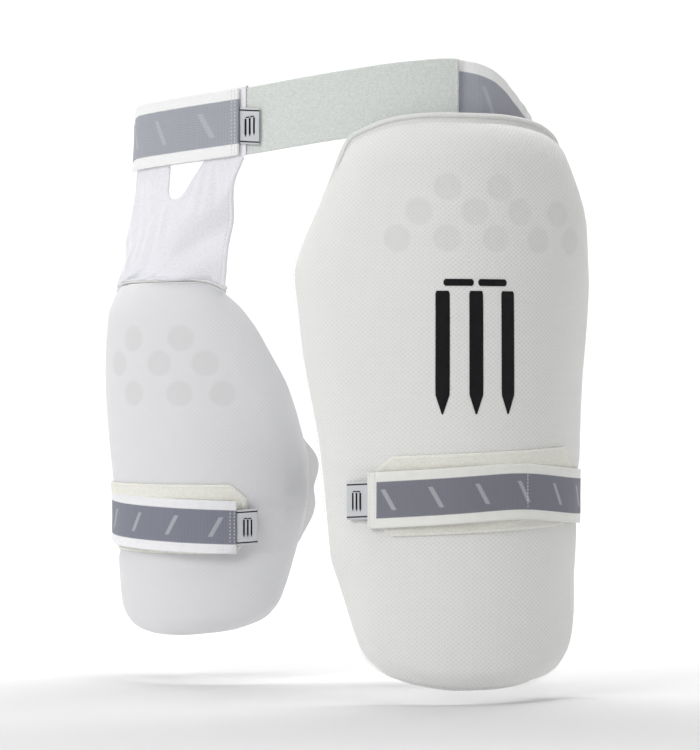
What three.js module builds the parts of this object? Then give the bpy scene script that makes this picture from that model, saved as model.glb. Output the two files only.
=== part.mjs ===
import * as THREE from "three";

// Cricket thigh guard: an outer and an inner thigh pad on one waist belt, in its worn shape.
// Millimetres. +X is the wearer's left, -Y the wearer's front, +Z up.
// The origin is the middle of the waist loop at the belt's mid-height.
// A heading is a direction in plan in degrees, 0 at the wearer's front, 90 at the wearer's left.
// s is a distance along a pad's inner face from its middle line, plus towards the wearer's left.
// down is a share of a pad's height measured from its top.

const GAP = 0.3;
const LOOP_CLOTH = 1.5;
const HOOK_TAPE = 1.2;
const ELASTIC = 1.5;
const LINING = 1.8;
const WEBBING = 1.3;
const LABEL_CLOTH = 0.8;
const LABEL_HEIGHT = 27;
const LABEL_WIDTH = 17;

// waist belt
const WAIST_HALF_WIDTH = 163;
const WAIST_HALF_DEPTH = 100;
const BELT_WIDTH = 50;
const PANEL_CLOTH = 2.2;
const SLEEVE_CLOTH = 1;
const PANEL_START = -67;
const PANEL_END = 56;
const ELASTIC_SEWN_FROM = 49;
const ELASTIC_END = -7;
const BELT_STEPS = 60;
// height of the belt's middle line by heading, as shares of the belt's width
const BELT_RISE = [
  { heading: -180, rise: 0.82 },
  { heading: -165, rise: 0.85 },
  { heading: -150, rise: 0.78 },
  { heading: -135, rise: 0.63 },
  { heading: -120, rise: 0.53 },
  { heading: -90, rise: 0.3 },
  { heading: -71, rise: 0.19 },
  { heading: -58, rise: 0.18 },
  { heading: -30, rise: 0.19 },
  { heading: -6, rise: 0.26 },
  { heading: 20, rise: 0.43 },
  { heading: 40, rise: 0.56 },
  { heading: 56, rise: 0.6 },
  { heading: 70, rise: 0.46 },
  { heading: 85, rise: 0.07 },
  { heading: 108, rise: -0.2 },
  { heading: 125, rise: 0 },
  { heading: 150, rise: 0.5 },
  { heading: 165, rise: 0.72 },
  { heading: 180, rise: 0.82 },
];

// outer pad on the left thigh
const OUTER_PAD = {
  x: 75,
  y: 12,
  facing: 45,
  top: 15,
  height: 417,
  foam: 20,
  edge: 4,
  spineTop: 0.3,
  spineFoot: 0.8,
  sideRim: 34,
  footRim: 15,
  flatSide: -1,
  flatFrom: 35,
  flatter: 1.45,
};
// front: reach of the inner face ahead of the pad's axis, radius: its roundness, both shares of the pad's height
OUTER_PAD.sections = [
  { down: 0, front: 0.2315, radius: 0.27 },
  { down: 0.1, front: 0.239, radius: 0.255 },
  { down: 0.2, front: 0.251, radius: 0.246 },
  { down: 0.3, front: 0.259, radius: 0.242 },
  { down: 0.42, front: 0.261, radius: 0.236 },
  { down: 0.56, front: 0.261, radius: 0.227 },
  { down: 0.7, front: 0.261, radius: 0.217 },
  { down: 0.86, front: 0.262, radius: 0.207 },
  { down: 1, front: 0.263, radius: 0.203 },
];
// half-widths of the outline towards the wearer's right and left, as shares of the pad's height
OUTER_PAD.outline = [
  { down: 0, right: 0.06, left: 0.06 },
  { down: 0.0035, right: 0.112, left: 0.105 },
  { down: 0.012, right: 0.15, left: 0.148 },
  { down: 0.024, right: 0.18, left: 0.178 },
  { down: 0.038, right: 0.203, left: 0.2 },
  { down: 0.065, right: 0.217, left: 0.214 },
  { down: 0.131, right: 0.246, left: 0.244 },
  { down: 0.177, right: 0.271, left: 0.27 },
  { down: 0.215, right: 0.296, left: 0.29 },
  { down: 0.261, right: 0.325, left: 0.312 },
  { down: 0.288, right: 0.331, left: 0.318 },
  { down: 0.323, right: 0.327, left: 0.316 },
  { down: 0.42, right: 0.317, left: 0.308 },
  { down: 0.5, right: 0.297, left: 0.292 },
  { down: 0.57, right: 0.279, left: 0.275 },
  { down: 0.639, right: 0.27, left: 0.266 },
  { down: 0.779, right: 0.26, left: 0.256 },
  { down: 0.82, right: 0.244, left: 0.244 },
  { down: 0.88, right: 0.22, left: 0.222 },
  { down: 0.92, right: 0.203, left: 0.205 },
  { down: 0.95, right: 0.184, left: 0.188 },
  { down: 0.975, right: 0.152, left: 0.158 },
  { down: 0.99, right: 0.108, left: 0.112 },
  { down: 1, right: 0.045, left: 0.045 },
];

// inner pad on the right thigh
const INNER_PAD = {
  x: -107.5,
  y: 4,
  facing: -2,
  top: -104,
  height: 272,
  foam: 14,
  edge: 3,
  spineTop: 0.34,
  spineFoot: 0.8,
  sideRim: 30,
  footRim: 14,
  flatSide: 1,
  flatFrom: 40,
  flatter: 1.5,
};
INNER_PAD.sections = [
  { down: 0, front: 0.239, radius: 0.243 },
  { down: 0.2, front: 0.245, radius: 0.247 },
  { down: 0.45, front: 0.246, radius: 0.246 },
  { down: 0.66, front: 0.228, radius: 0.23 },
  { down: 0.85, front: 0.216, radius: 0.218 },
  { down: 1, front: 0.2, radius: 0.202 },
];
INNER_PAD.outline = [
  { down: 0, right: 0.21, left: 0.095 },
  { down: 0.008, right: 0.255, left: 0.135 },
  { down: 0.03, right: 0.282, left: 0.17 },
  { down: 0.07, right: 0.297, left: 0.213 },
  { down: 0.13, right: 0.312, left: 0.257 },
  { down: 0.2, right: 0.325, left: 0.296 },
  { down: 0.28, right: 0.34, left: 0.333 },
  { down: 0.36, right: 0.355, left: 0.37 },
  { down: 0.44, right: 0.365, left: 0.405 },
  { down: 0.5, right: 0.368, left: 0.425 },
  { down: 0.6, right: 0.368, left: 0.425 },
  { down: 0.68, right: 0.36, left: 0.405 },
  { down: 0.76, right: 0.345, left: 0.38 },
  { down: 0.84, right: 0.325, left: 0.355 },
  { down: 0.91, right: 0.29, left: 0.32 },
  { down: 0.955, right: 0.245, left: 0.272 },
  { down: 0.985, right: 0.175, left: 0.192 },
  { down: 1, right: 0.07, left: 0.075 },
];
// the wing on the backing's left edge that the leg strap is sewn to, as shares of the pad's height
const WING = [
  { down: 0, wing: 0 },
  { down: 0.41, wing: 0 },
  { down: 0.45, wing: 0.03 },
  { down: 0.49, wing: 0.085 },
  { down: 0.51, wing: 0.1 },
  { down: 0.54, wing: 0.1 },
  { down: 0.585, wing: 0.075 },
  { down: 0.635, wing: 0.1 },
  { down: 0.66, wing: 0.095 },
  { down: 0.7, wing: 0.06 },
  { down: 0.75, wing: 0.02 },
  { down: 0.79, wing: 0 },
  { down: 1, wing: 0 },
];
const OUTLINE_POINTS = 60;
const BINDING_WIDTH = 3.2;
const PIPING_WIDTH = 3;
const PIPING_DEPTH = 7;
const SEAM_GAP = 1.2;

// leg straps: places along the pads as s
const STRAP_WIDTH = 40;
const STRAP_STEP = 5;
const TUCK_GAP = 1;
const PATCH_GAP = 0.6;
const PATCH_WIDTH = 57;
const PATCH_CORNER = 11;
const OUTER_STRAP = {
  patchFrom: -66,
  patchTo: 70,
  patchMiddle: 0.659,
  free: -69,
  hookLength: 70,
  sewn: -98,
  wing: 0,
  height: 0.668,
  // drop of the strap's middle line by turn about the leg from the free end, as shares of the strap's width
  drops: [
    { turn: 0, drop: 0 },
    { turn: 60, drop: -0.1 },
    { turn: 110, drop: 0.05 },
    { turn: 250, drop: 0.1 },
    { turn: 360, drop: 0 },
  ],
};
const INNER_STRAP = {
  patchFrom: -84,
  patchTo: 57,
  patchMiddle: 0.664,
  free: 51,
  hookLength: 70,
  sewn: 124,
  wing: 20,
  height: 0.688,
  drops: [
    { turn: 0, drop: 0 },
    { turn: 110, drop: -0.15 },
    { turn: 200, drop: -0.7 },
    { turn: 330, drop: -0.94 },
  ],
};

// hanger flap from the belt to the inner pad
const FLAP_CLOTH = 1.4;
const FLAP_TOP_FROM = -62;
const FLAP_TOP_TO = -7;
const FLAP_FOOT_FROM = -0.282;
const FLAP_FOOT_TO = 0.167;
const FLAP_ROWS = 10;
// share across the flap, and how far the cut between the prongs reaches down, as shares of the belt's width
const NOTCH = [
  { across: 0, cut: 0 },
  { across: 0.06, cut: 0 },
  { across: 0.12, cut: 0 },
  { across: 0.24, cut: 0 },
  { across: 0.36, cut: 0 },
  { across: 0.46, cut: 0 },
  { across: 0.475, cut: 0.34 },
  { across: 0.52, cut: 0.48 },
  { across: 0.58, cut: 0.4 },
  { across: 0.66, cut: 0.2 },
  { across: 0.74, cut: 0 },
  { across: 0.82, cut: 0 },
  { across: 0.91, cut: 0 },
  { across: 1, cut: 0 },
];
const LEFT_SLEEVE = { from: -63, to: -36.5 };
const RIGHT_SLEEVE = { from: -21, to: -5.5 };

const WHITE_MESH = 0xe6e6e2;
const WHITE_CLOTH = 0xe9e9f0;
const LOOP_IVORY = 0xe4e4dc;
const PANEL_GREEN_GREY = 0xd2d5d2;
const ELASTIC_GREY = 0x8f909c;
const LABEL_WHITE = 0xd8d8da;

function look(color, roughness) {
  return new THREE.MeshStandardMaterial({ color, roughness, metalness: 0 });
}

function mix(a, b, t) {
  return a + (b - a) * t;
}

function smooth(t) {
  const clamped = Math.min(1, Math.max(0, t));
  return clamped * clamped * (3 - 2 * clamped);
}

// value of a column at a place on a table's first column, straight between rows
function lookup(rows, placeKey, valueKey, place) {
  let i = 0;
  while (i < rows.length - 2 && rows[i + 1][placeKey] < place) i++;
  const a = rows[i];
  const b = rows[i + 1];
  const t = (place - a[placeKey]) / (b[placeKey] - a[placeKey]);
  return mix(a[valueKey], b[valueKey], Math.min(1, Math.max(0, t)));
}

function headingVector(degrees) {
  const angle = THREE.MathUtils.degToRad(degrees);
  return new THREE.Vector3(Math.sin(angle), -Math.cos(angle), 0);
}

// two triangles of a four-sided patch, split along its shorter diagonal
function quad(points, a, b, c, d) {
  if (points[a].distanceTo(points[c]) <= points[b].distanceTo(points[d])) return [a, b, c, a, c, d];
  return [a, b, d, b, c, d];
}

// closed solid from closed rings of points running from one pole to the other
function ringSolid(firstPole, rings, lastPole) {
  const points = [firstPole, ...rings.flat(), lastPole];
  const count = rings[0].length;
  const faces = [];
  for (let i = 0; i < count; i++) {
    const j = (i + 1) % count;
    faces.push(0, 1 + i, 1 + j);
    for (let k = 0; k < rings.length - 1; k++) {
      const a = 1 + k * count;
      const b = a + count;
      faces.push(...quad(points, a + i, b + i, b + j, a + j));
    }
    const last = 1 + (rings.length - 1) * count;
    faces.push(last + i, points.length - 1, last + j);
  }
  return solid(points, faces);
}

// closed solid from equal cross-sections; a loop when closed, otherwise capped at both ends
function sectionSolid(sections, closed) {
  const count = sections[0].length;
  const points = sections.flat();
  const faces = [];
  const steps = closed ? sections.length : sections.length - 1;
  for (let k = 0; k < steps; k++) {
    const a = k * count;
    const b = ((k + 1) % sections.length) * count;
    for (let i = 0; i < count; i++) {
      const j = (i + 1) % count;
      faces.push(...quad(points, a + i, b + i, b + j, a + j));
    }
  }
  if (!closed) {
    const last = (sections.length - 1) * count;
    for (let i = 1; i < count - 1; i++) {
      faces.push(0, i, i + 1);
      faces.push(last, last + i + 1, last + i);
    }
  }
  return solid(points, faces);
}

// closed solid from two matching grids of points, an outer and an inner face
function gridSolid(outer, inner) {
  const rows = outer.length;
  const columns = outer[0].length;
  const points = [...outer.flat(), ...inner.flat()];
  const half = rows * columns;
  const at = (r, c) => r * columns + c;
  const faces = [];
  for (let r = 0; r < rows - 1; r++) {
    for (let c = 0; c < columns - 1; c++) {
      const q = [at(r, c), at(r, c + 1), at(r + 1, c + 1), at(r + 1, c)];
      faces.push(...quad(points, ...q));
      faces.push(...quad(points, ...q.reverse().map((k) => half + k)));
    }
  }
  const rim = [];
  for (let c = 0; c < columns - 1; c++) rim.push(at(0, c));
  for (let r = 0; r < rows - 1; r++) rim.push(at(r, columns - 1));
  for (let c = columns - 1; c > 0; c--) rim.push(at(rows - 1, c));
  for (let r = rows - 1; r > 0; r--) rim.push(at(r, 0));
  for (let i = 0; i < rim.length; i++) {
    const a = rim[i];
    const b = rim[(i + 1) % rim.length];
    faces.push(a, half + a, half + b, a, half + b, b);
  }
  return solid(points, faces);
}

// faces are turned to point outward whichever way the points ran
function solid(points, faces) {
  let volume = 0;
  for (let i = 0; i < faces.length; i += 3) {
    const a = points[faces[i]];
    const b = points[faces[i + 1]];
    const c = points[faces[i + 2]];
    volume += a.dot(b.clone().cross(c));
  }
  const ordered = volume > 0 ? faces : faces.slice().reverse();
  const geometry = new THREE.BufferGeometry();
  geometry.setAttribute("position", new THREE.Float32BufferAttribute(points.flatMap((p) => p.toArray()), 3));
  geometry.setIndex(ordered);
  geometry.computeVertexNormals();
  return geometry;
}

const group = new THREE.Group();
group.name = "cricket_thigh_guard";

function addMesh(name, geometry, material) {
  const mesh = new THREE.Mesh(geometry, material);
  mesh.name = name;
  group.add(mesh);
}

// pads

// centre of the pad's round surface at a height
function thighCentre(pad, down) {
  const radius = pad.height * lookup(pad.sections, "down", "radius", down);
  const front = pad.height * lookup(pad.sections, "down", "front", down);
  const middle = new THREE.Vector3(pad.x, pad.y, pad.top - down * pad.height);
  return middle.addScaledVector(headingVector(pad.facing), front - radius);
}

// point at s along the pad's inner face, lifted off the leg
function padPoint(pad, s, down, lift) {
  const radius = pad.height * lookup(pad.sections, "down", "radius", down);
  const side = s * pad.flatSide > pad.flatFrom ? pad.flatter : 1;
  const join = side === 1 ? 0 : pad.flatFrom * pad.flatSide;
  const joinHeading = pad.facing + THREE.MathUtils.radToDeg(join / radius);
  const bow = radius * side;
  const heading = joinHeading + THREE.MathUtils.radToDeg((s - join) / bow);
  const point = thighCentre(pad, down).addScaledVector(headingVector(joinHeading), radius - bow);
  return point.addScaledVector(headingVector(heading), bow + lift);
}

function halfWidth(pad, sign, down) {
  return pad.height * lookup(pad.outline, "down", sign < 0 ? "right" : "left", down);
}

// height of the pad's outer face above its inner face, at a distance in from the outline
function foamLift(pad, inset, down) {
  const rim = mix(pad.sideRim, pad.footRim, smooth((down - pad.spineFoot) / 0.14));
  const t = Math.min(1, Math.max(0, inset / rim));
  return mix(pad.edge, pad.foam, Math.sqrt(1 - (1 - t) * (1 - t)) * mix(0.85, 1, t));
}

function surfaceLift(pad, s, down) {
  const base = LINING + GAP;
  return base + foamLift(pad, halfWidth(pad, Math.sign(s), down) - Math.abs(s), down);
}

// closed outline of a pad as {s, down}, evenly spaced, drawn in by an inset
function outline(pad, inset) {
  const rows = pad.outline;
  const path = new THREE.CurvePath();
  const fine = [];
  for (let i = 0; i < rows.length - 1; i++) {
    const parts = 4;
    for (let k = 0; k < parts; k++) {
      const down = mix(rows[i].down, rows[i + 1].down, k / parts);
      fine.push(new THREE.Vector2(halfWidth(pad, 1, down), down * pad.height));
    }
  }
  const ring = [...fine];
  ring.push(new THREE.Vector2(rows.at(-1).left * pad.height, pad.height));
  const back = [];
  for (let i = 0; i < rows.length; i++) back.push(new THREE.Vector2(-rows[i].right * pad.height, rows[i].down * pad.height));
  ring.push(...back.reverse());
  for (let i = 0; i < ring.length; i++) path.add(new THREE.LineCurve(ring[i], ring[(i + 1) % ring.length]));
  const points = path.getSpacedPoints(OUTLINE_POINTS).slice(0, OUTLINE_POINTS);
  return points.map((p, i) => {
    const before = points[(i + OUTLINE_POINTS - 1) % OUTLINE_POINTS];
    const after = points[(i + 1) % OUTLINE_POINTS];
    const along = after.clone().sub(before).normalize();
    return new THREE.Vector2(p.x - along.y * inset, p.y + along.x * inset);
  });
}

// point of the pad's spine that an outline point is drawn towards
function spineOf(pad, p) {
  const top = pad.spineTop * pad.height;
  const foot = pad.spineFoot * pad.height;
  return new THREE.Vector2(0, Math.min(foot, Math.max(top, p.y)));
}

// ring of the pad at a distance in from its outline; beyond the rim it closes on the pole in shares
function padRing(pad, edge, inset, share, lift) {
  return edge.map((p) => {
    const spine = spineOf(pad, p);
    const reach = spine.distanceTo(p);
    const rim = mix(pad.sideRim, pad.footRim, smooth((p.y / pad.height - pad.spineFoot) / 0.14));
    const q = p.clone().lerp(spine, (inset * rim) / reach);
    const pole = new THREE.Vector2(0, mix(pad.spineTop, pad.spineFoot, 0.5) * pad.height);
    q.lerp(pole, share);
    return padPoint(pad, q.x, q.y / pad.height, lift(inset * rim, p.y / pad.height));
  });
}

function padPole(pad, lift) {
  return padPoint(pad, 0, mix(pad.spineTop, pad.spineFoot, 0.5), lift);
}

const RIM_SHARES = [0, 0.05, 0.16, 0.36, 0.66, 1];
const CROWN_SHARES = [0.36, 0.7];
const FLAT_SHARES = [0, 0.5, 1];

function addShell(name, pad, inset) {
  const base = LINING + GAP;
  const edge = outline(pad, inset);
  const outerLift = (distance, down) => base + foamLift(pad, distance, down);
  const flatLift = () => base;
  const crown = CROWN_SHARES.slice().reverse().map((share) => padRing(pad, edge, 1, share, outerLift));
  const rim = RIM_SHARES.slice().reverse().map((share) => padRing(pad, edge, share, 0, outerLift));
  const flat = FLAT_SHARES.map((share) => padRing(pad, edge, share, 0, flatLift));
  const under = CROWN_SHARES.map((share) => padRing(pad, edge, 1, share, flatLift));
  const rings = [...crown, ...rim, ...flat, ...under];
  addMesh(name, ringSolid(padPole(pad, base + pad.foam), rings, padPole(pad, base)), look(WHITE_MESH, 0.85));
}

function addBacking(name, pad, inset, wing) {
  const edge = outline(pad, inset);
  const outerLift = () => LINING;
  const legLift = () => 0;
  const outerFace = CROWN_SHARES.slice().reverse().map((share) => padRing(pad, edge, 1, share, outerLift));
  const outerRim = FLAT_SHARES.slice().reverse().map((share) => padRing(pad, edge, share, 0, outerLift));
  const innerRim = FLAT_SHARES.map((share) => padRing(pad, edge, share, 0, legLift));
  const innerFace = CROWN_SHARES.map((share) => padRing(pad, edge, 1, share, legLift));
  const wingFace = wing.map((p) => padPoint(pad, p.x, p.y / pad.height, LINING));
  const wingBack = wing.map((p) => padPoint(pad, p.x, p.y / pad.height, 0));
  const wings = wing.length > 0 ? [wingFace, wingBack] : [];
  const rings = [...outerFace, ...outerRim, ...wings, ...innerRim, ...innerFace];
  addMesh(name, ringSolid(padPole(pad, LINING), rings, padPole(pad, 0)), look(WHITE_CLOTH, 0.9));
}

const wingEdge = outline(INNER_PAD, 0).map((p) => {
  const wing = INNER_PAD.height * lookup(WING, "down", "wing", p.y / INNER_PAD.height);
  return new THREE.Vector2(p.x + (p.x > 0 ? wing : 0), p.y);
});
addShell("thigh_pad_shell", OUTER_PAD, BINDING_WIDTH + GAP);
addBacking("thigh_pad_backing", OUTER_PAD, BINDING_WIDTH + GAP, []);
addShell("inner_pad_shell", INNER_PAD, LINING);
addBacking("inner_pad_backing", INNER_PAD, LINING, wingEdge);

// binding folded over the outer pad's edge
function bandAlong(pad, inner, outer, low, high) {
  return inner.map((p, i) => [
    padPoint(pad, p.x, p.y / pad.height, low),
    padPoint(pad, outer[i].x, outer[i].y / pad.height, low),
    padPoint(pad, outer[i].x, outer[i].y / pad.height, high),
    padPoint(pad, p.x, p.y / pad.height, high),
  ]);
}
const bindingTop = LINING + GAP + OUTER_PAD.edge;
const bindingSections = bandAlong(OUTER_PAD, outline(OUTER_PAD, BINDING_WIDTH), outline(OUTER_PAD, 0), 0, bindingTop);
addMesh("thigh_pad_binding", sectionSolid(bindingSections, true), look(WHITE_CLOTH, 0.8));

// loop patches

function addPatch(name, pad, strap) {
  const columns = [];
  const count = 14;
  const from = strap.patchFrom;
  const to = strap.patchTo;
  for (let i = 0; i <= count; i++) {
    const s = mix(from, to, i / count);
    const fromEnd = Math.min(s - from, to - s);
    const shortened = Math.max(0, PATCH_CORNER - fromEnd);
    columns.push({ s, half: PATCH_WIDTH / 2 - shortened });
  }
  columns.splice(1, 0, { s: from + PATCH_CORNER * 0.5, half: PATCH_WIDTH / 2 - PATCH_CORNER * 0.5 });
  columns.splice(-1, 0, { s: to - PATCH_CORNER * 0.5, half: PATCH_WIDTH / 2 - PATCH_CORNER * 0.5 });
  const face = (extra) => columns.map(({ s, half }) => [-1, -0.33, 0.33, 1].map((side) => {
    const down = strap.patchMiddle + (side * half) / pad.height;
    return padPoint(pad, s, down, surfaceLift(pad, s, down) + PATCH_GAP + extra);
  }));
  addMesh(name, gridSolid(face(LOOP_CLOTH), face(0)), look(LOOP_IVORY, 0.95));
}
addPatch("thigh_loop_patch", OUTER_PAD, OUTER_STRAP);
addPatch("inner_loop_patch", INNER_PAD, INNER_STRAP);

// leg straps

// outer hull of points in plan, in order round the leg
function hull(points) {
  const sorted = points.slice().sort((a, b) => a.x - b.x || a.y - b.y);
  const turn = (o, a, b) => (a.x - o.x) * (b.y - o.y) - (a.y - o.y) * (b.x - o.x);
  const chain = (list) => {
    const kept = [];
    for (const p of list) {
      while (kept.length > 1 && turn(kept.at(-2), kept.at(-1), p) <= 0) kept.pop();
      kept.push(p);
    }
    return kept.slice(0, -1);
  };
  return [...chain(sorted), ...chain(sorted.slice().reverse())];
}

// distance from a centre to a closed plan outline along a heading
function reach(polygon, centre, heading) {
  const ray = headingVector(heading);
  let best = 0;
  for (let i = 0; i < polygon.length; i++) {
    const a = polygon[i].clone().sub(centre);
    const b = polygon[(i + 1) % polygon.length].clone().sub(centre);
    const sideA = ray.x * a.y - ray.y * a.x;
    const sideB = ray.x * b.y - ray.y * b.x;
    if (sideA * sideB > 0) continue;
    const hit = a.lerp(b, sideA / (sideA - sideB));
    best = Math.max(best, hit.x * ray.x + hit.y * ray.y);
  }
  return best;
}

function headingOf(centre, p) {
  return THREE.MathUtils.radToDeg(Math.atan2(p.x - centre.x, centre.y - p.y));
}

function inPlan(p) {
  return new THREE.Vector3(p.x, p.y, 0);
}

// plan outlines at one height: the leg alone, and the leg with the pad and patch over it
function strapSupport(pad, strap, centre, down) {
  const side = Math.sign(strap.free);
  const far = -side * halfWidth(pad, -side, down);
  const near = side * (halfWidth(pad, side, down) + strap.wing);
  const over = [];
  const leg = [];
  const count = 40;
  const places = Array.from({ length: count + 1 }, (_, i) => mix(far, near, i / count));
  places.splice(count, 0, strap.patchFrom, strap.patchTo);
  places.sort((a, b) => (a - b) * side);
  for (const s of places) {
    const onPatch = s >= strap.patchFrom && s <= strap.patchTo;
    const onFoam = Math.abs(s) < halfWidth(pad, Math.sign(s), down);
    const patch = onPatch ? PATCH_GAP + LOOP_CLOTH : 0;
    if (onFoam) over.push(inPlan(padPoint(pad, s, down, surfaceLift(pad, s, down) + patch)));
    leg.push(inPlan(padPoint(pad, s, down, 0)));
  }
  const farHeading = headingOf(centre, leg[0]);
  const nearHeading = headingOf(centre, leg.at(-1));
  const farReach = leg[0].distanceTo(centre);
  const nearReach = leg.at(-1).distanceTo(centre);
  const backSpan = 360 - side * (nearHeading - farHeading);
  for (let i = 1; i < count; i++) {
    const ray = headingVector(farHeading - (side * backSpan * i) / count);
    leg.push(centre.clone().addScaledVector(ray, Math.min(farReach, nearReach)));
  }
  return { over: hull([...over, ...leg]), leg: hull(leg), farHeading, nearHeading };
}

// the strap lies over the pad's front, goes round the back of the leg and in under the pad's far edge
function strapFace(pad, strap) {
  const side = Math.sign(strap.free);
  const middle = thighCentre(pad, strap.height);
  const centre = inPlan(middle);
  const freeHeading = headingOf(centre, padPoint(pad, strap.free, strap.height, pad.foam));
  const sewnHeading = headingOf(centre, padPoint(pad, strap.sewn, strap.height, 0));
  const total = 360 - side * (sewnHeading - freeHeading);
  const place = (turn) => {
    const drop = lookup(strap.drops, "turn", "drop", turn) * STRAP_WIDTH;
    const down = strap.height + drop / pad.height;
    const heading = freeHeading - side * turn;
    let over = 0;
    let under = Infinity;
    let weight = 0;
    for (const shift of [-1, 0, 1]) {
      const level = strapSupport(pad, strap, centre, down + (shift * STRAP_WIDTH) / 2 / pad.height);
      over = Math.max(over, reach(level.over, centre, heading));
      under = Math.min(under, reach(level.leg, centre, heading));
      const farTurn = side * (freeHeading - level.farHeading);
      const nearTurn = 360 - side * (level.nearHeading - freeHeading);
      weight = Math.max(weight, smooth((turn - farTurn - 15) / (nearTurn - farTurn - 75)));
    }
    const above = over + PATCH_GAP + HOOK_TAPE + GAP;
    const below = under - TUCK_GAP - ELASTIC;
    return { ray: headingVector(heading), reach: mix(above, below, weight), z: middle.z - drop };
  };
  const point = (turn, lift, rise) => {
    const at = place(turn);
    return centre.clone().addScaledVector(at.ray, at.reach + lift).setZ(at.z + rise);
  };
  return { point, total, perDegree: (THREE.MathUtils.degToRad(1) * place(0).reach) };
}

function bandSections(point, from, to, steps, low, high, width) {
  const sections = [];
  for (let i = 0; i <= steps; i++) {
    const turn = mix(from, to, i / steps);
    sections.push([
      point(turn, low, -width / 2),
      point(turn, high, -width / 2),
      point(turn, high, width / 2),
      point(turn, low, width / 2),
    ]);
  }
  return sections;
}

function addStrap(prefix, pad, strap) {
  const face = strapFace(pad, strap);
  const steps = Math.round(face.total / STRAP_STEP);
  const run = bandSections(face.point, 0, face.total, steps, 0, ELASTIC, STRAP_WIDTH);
  addMesh(`${prefix}_strap`, sectionSolid(run, false), look(ELASTIC_GREY, 0.8));
  const step = face.total / steps;
  const tapeSteps = Math.round(strap.hookLength / (face.perDegree * step));
  const tape = bandSections(face.point, 0, tapeSteps * step, tapeSteps, -GAP - HOOK_TAPE, -GAP, STRAP_WIDTH - 5);
  addMesh(`${prefix}_strap_hook_tape`, sectionSolid(tape, false), look(WHITE_CLOTH, 0.9));
  const labelFrom = -GAP / face.perDegree;
  const labelTo = -LABEL_WIDTH / face.perDegree;
  const label = bandSections(face.point, labelFrom, labelTo, 2, 0, LABEL_CLOTH, LABEL_HEIGHT);
  addMesh(`${prefix}_strap_label`, sectionSolid(label, false), look(LABEL_WHITE, 0.6));
}
addStrap("thigh", OUTER_PAD, OUTER_STRAP);
addStrap("inner", INNER_PAD, INNER_STRAP);

// belt

function beltHeight(heading) {
  const turned = heading > 180 ? heading - 360 : heading;
  return BELT_WIDTH * lookup(BELT_RISE, "heading", "rise", turned);
}

// point of the belt's middle layer, moved outward and up
function beltPoint(heading, out, rise) {
  const angle = THREE.MathUtils.degToRad(heading);
  const ray = new THREE.Vector3(Math.sin(angle), -Math.cos(angle), 0);
  const point = new THREE.Vector3(WAIST_HALF_WIDTH * ray.x, WAIST_HALF_DEPTH * ray.y, beltHeight(heading) + rise);
  const normal = new THREE.Vector3(ray.x / WAIST_HALF_WIDTH, ray.y / WAIST_HALF_DEPTH, 0).normalize();
  return point.addScaledVector(normal, out);
}

const PANEL_FACE = PANEL_CLOTH / 2;
const SLEEVE_IN = PANEL_FACE + GAP;
const SLEEVE_OUT = SLEEVE_IN + SLEEVE_CLOTH;
const TAPE_IN = SLEEVE_OUT + GAP;
const TAPE_OUT = TAPE_IN + HOOK_TAPE;
const ELASTIC_OVER = TAPE_OUT + GAP + ELASTIC / 2;
const ELASTIC_UNDER = PANEL_FACE + GAP + ELASTIC / 2;

// the elastic starts sewn behind the panel's end, goes round the back and closes over the panel
function elasticOut(heading) {
  const leaving = smooth((heading - PANEL_END - 1) / 9);
  const closing = smooth((heading - 360 + 97) / 26);
  return -ELASTIC_UNDER * (1 - leaving) + ELASTIC_OVER * closing;
}

const panel = bandSections(beltPoint, PANEL_START, PANEL_END, 32, -PANEL_FACE, PANEL_FACE, BELT_WIDTH);
addMesh("belt_loop_panel", sectionSolid(panel, false), look(PANEL_GREEN_GREY, 0.95));

const elasticPoint = (heading, out, rise) => beltPoint(heading, elasticOut(heading) + out, rise);
const elasticTo = ELASTIC_END + 360;
const elastic = bandSections(elasticPoint, ELASTIC_SEWN_FROM, elasticTo, BELT_STEPS, -ELASTIC / 2, ELASTIC / 2, BELT_WIDTH);
addMesh("belt_elastic", sectionSolid(elastic, false), look(ELASTIC_GREY, 0.8));

const beltTape = bandSections(beltPoint, -35, -9, 8, TAPE_IN, TAPE_OUT, BELT_WIDTH - 6);
addMesh("belt_hook_tape", sectionSolid(beltTape, false), look(WHITE_CLOTH, 0.9));

const beltLabel = bandSections(beltPoint, -1.2, -6.6, 2, TAPE_IN, TAPE_IN + LABEL_CLOTH, LABEL_HEIGHT);
addMesh("belt_label", sectionSolid(beltLabel, false), look(LABEL_WHITE, 0.6));

// hanger flap

// sleeve of a prong round the belt panel: a closed run of strips over the belt's four corners
function addSleeve(name, range) {
  const steps = 5;
  const corners = [[-1, -1], [1, -1], [1, 1], [-1, 1]];
  const strips = corners.map(([out, up]) => {
    const outer = [];
    const inner = [];
    for (let i = 0; i <= steps; i++) {
      const heading = mix(range.from, range.to, i / steps);
      const rise = BELT_WIDTH / 2 + GAP;
      outer.push(beltPoint(heading, out * SLEEVE_OUT, up * (rise + SLEEVE_CLOTH)));
      inner.push(beltPoint(heading, out * SLEEVE_IN, up * rise));
    }
    return [...outer, ...inner.reverse()];
  });
  addMesh(name, sectionSolid(strips, true), look(WHITE_CLOTH, 0.9));
}
addSleeve("hanger_sleeve_left", LEFT_SLEEVE);
addSleeve("hanger_sleeve_right", RIGHT_SLEEVE);

// place on the inner pad's top seam, a distance above its outline
function seamPoint(s, above, lift) {
  const key = s < 0 ? "right" : "left";
  const down = lookup(INNER_PAD.outline, key, "down", Math.abs(s) / INNER_PAD.height);
  return padPoint(INNER_PAD, s, down - above / INNER_PAD.height, lift);
}

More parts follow.
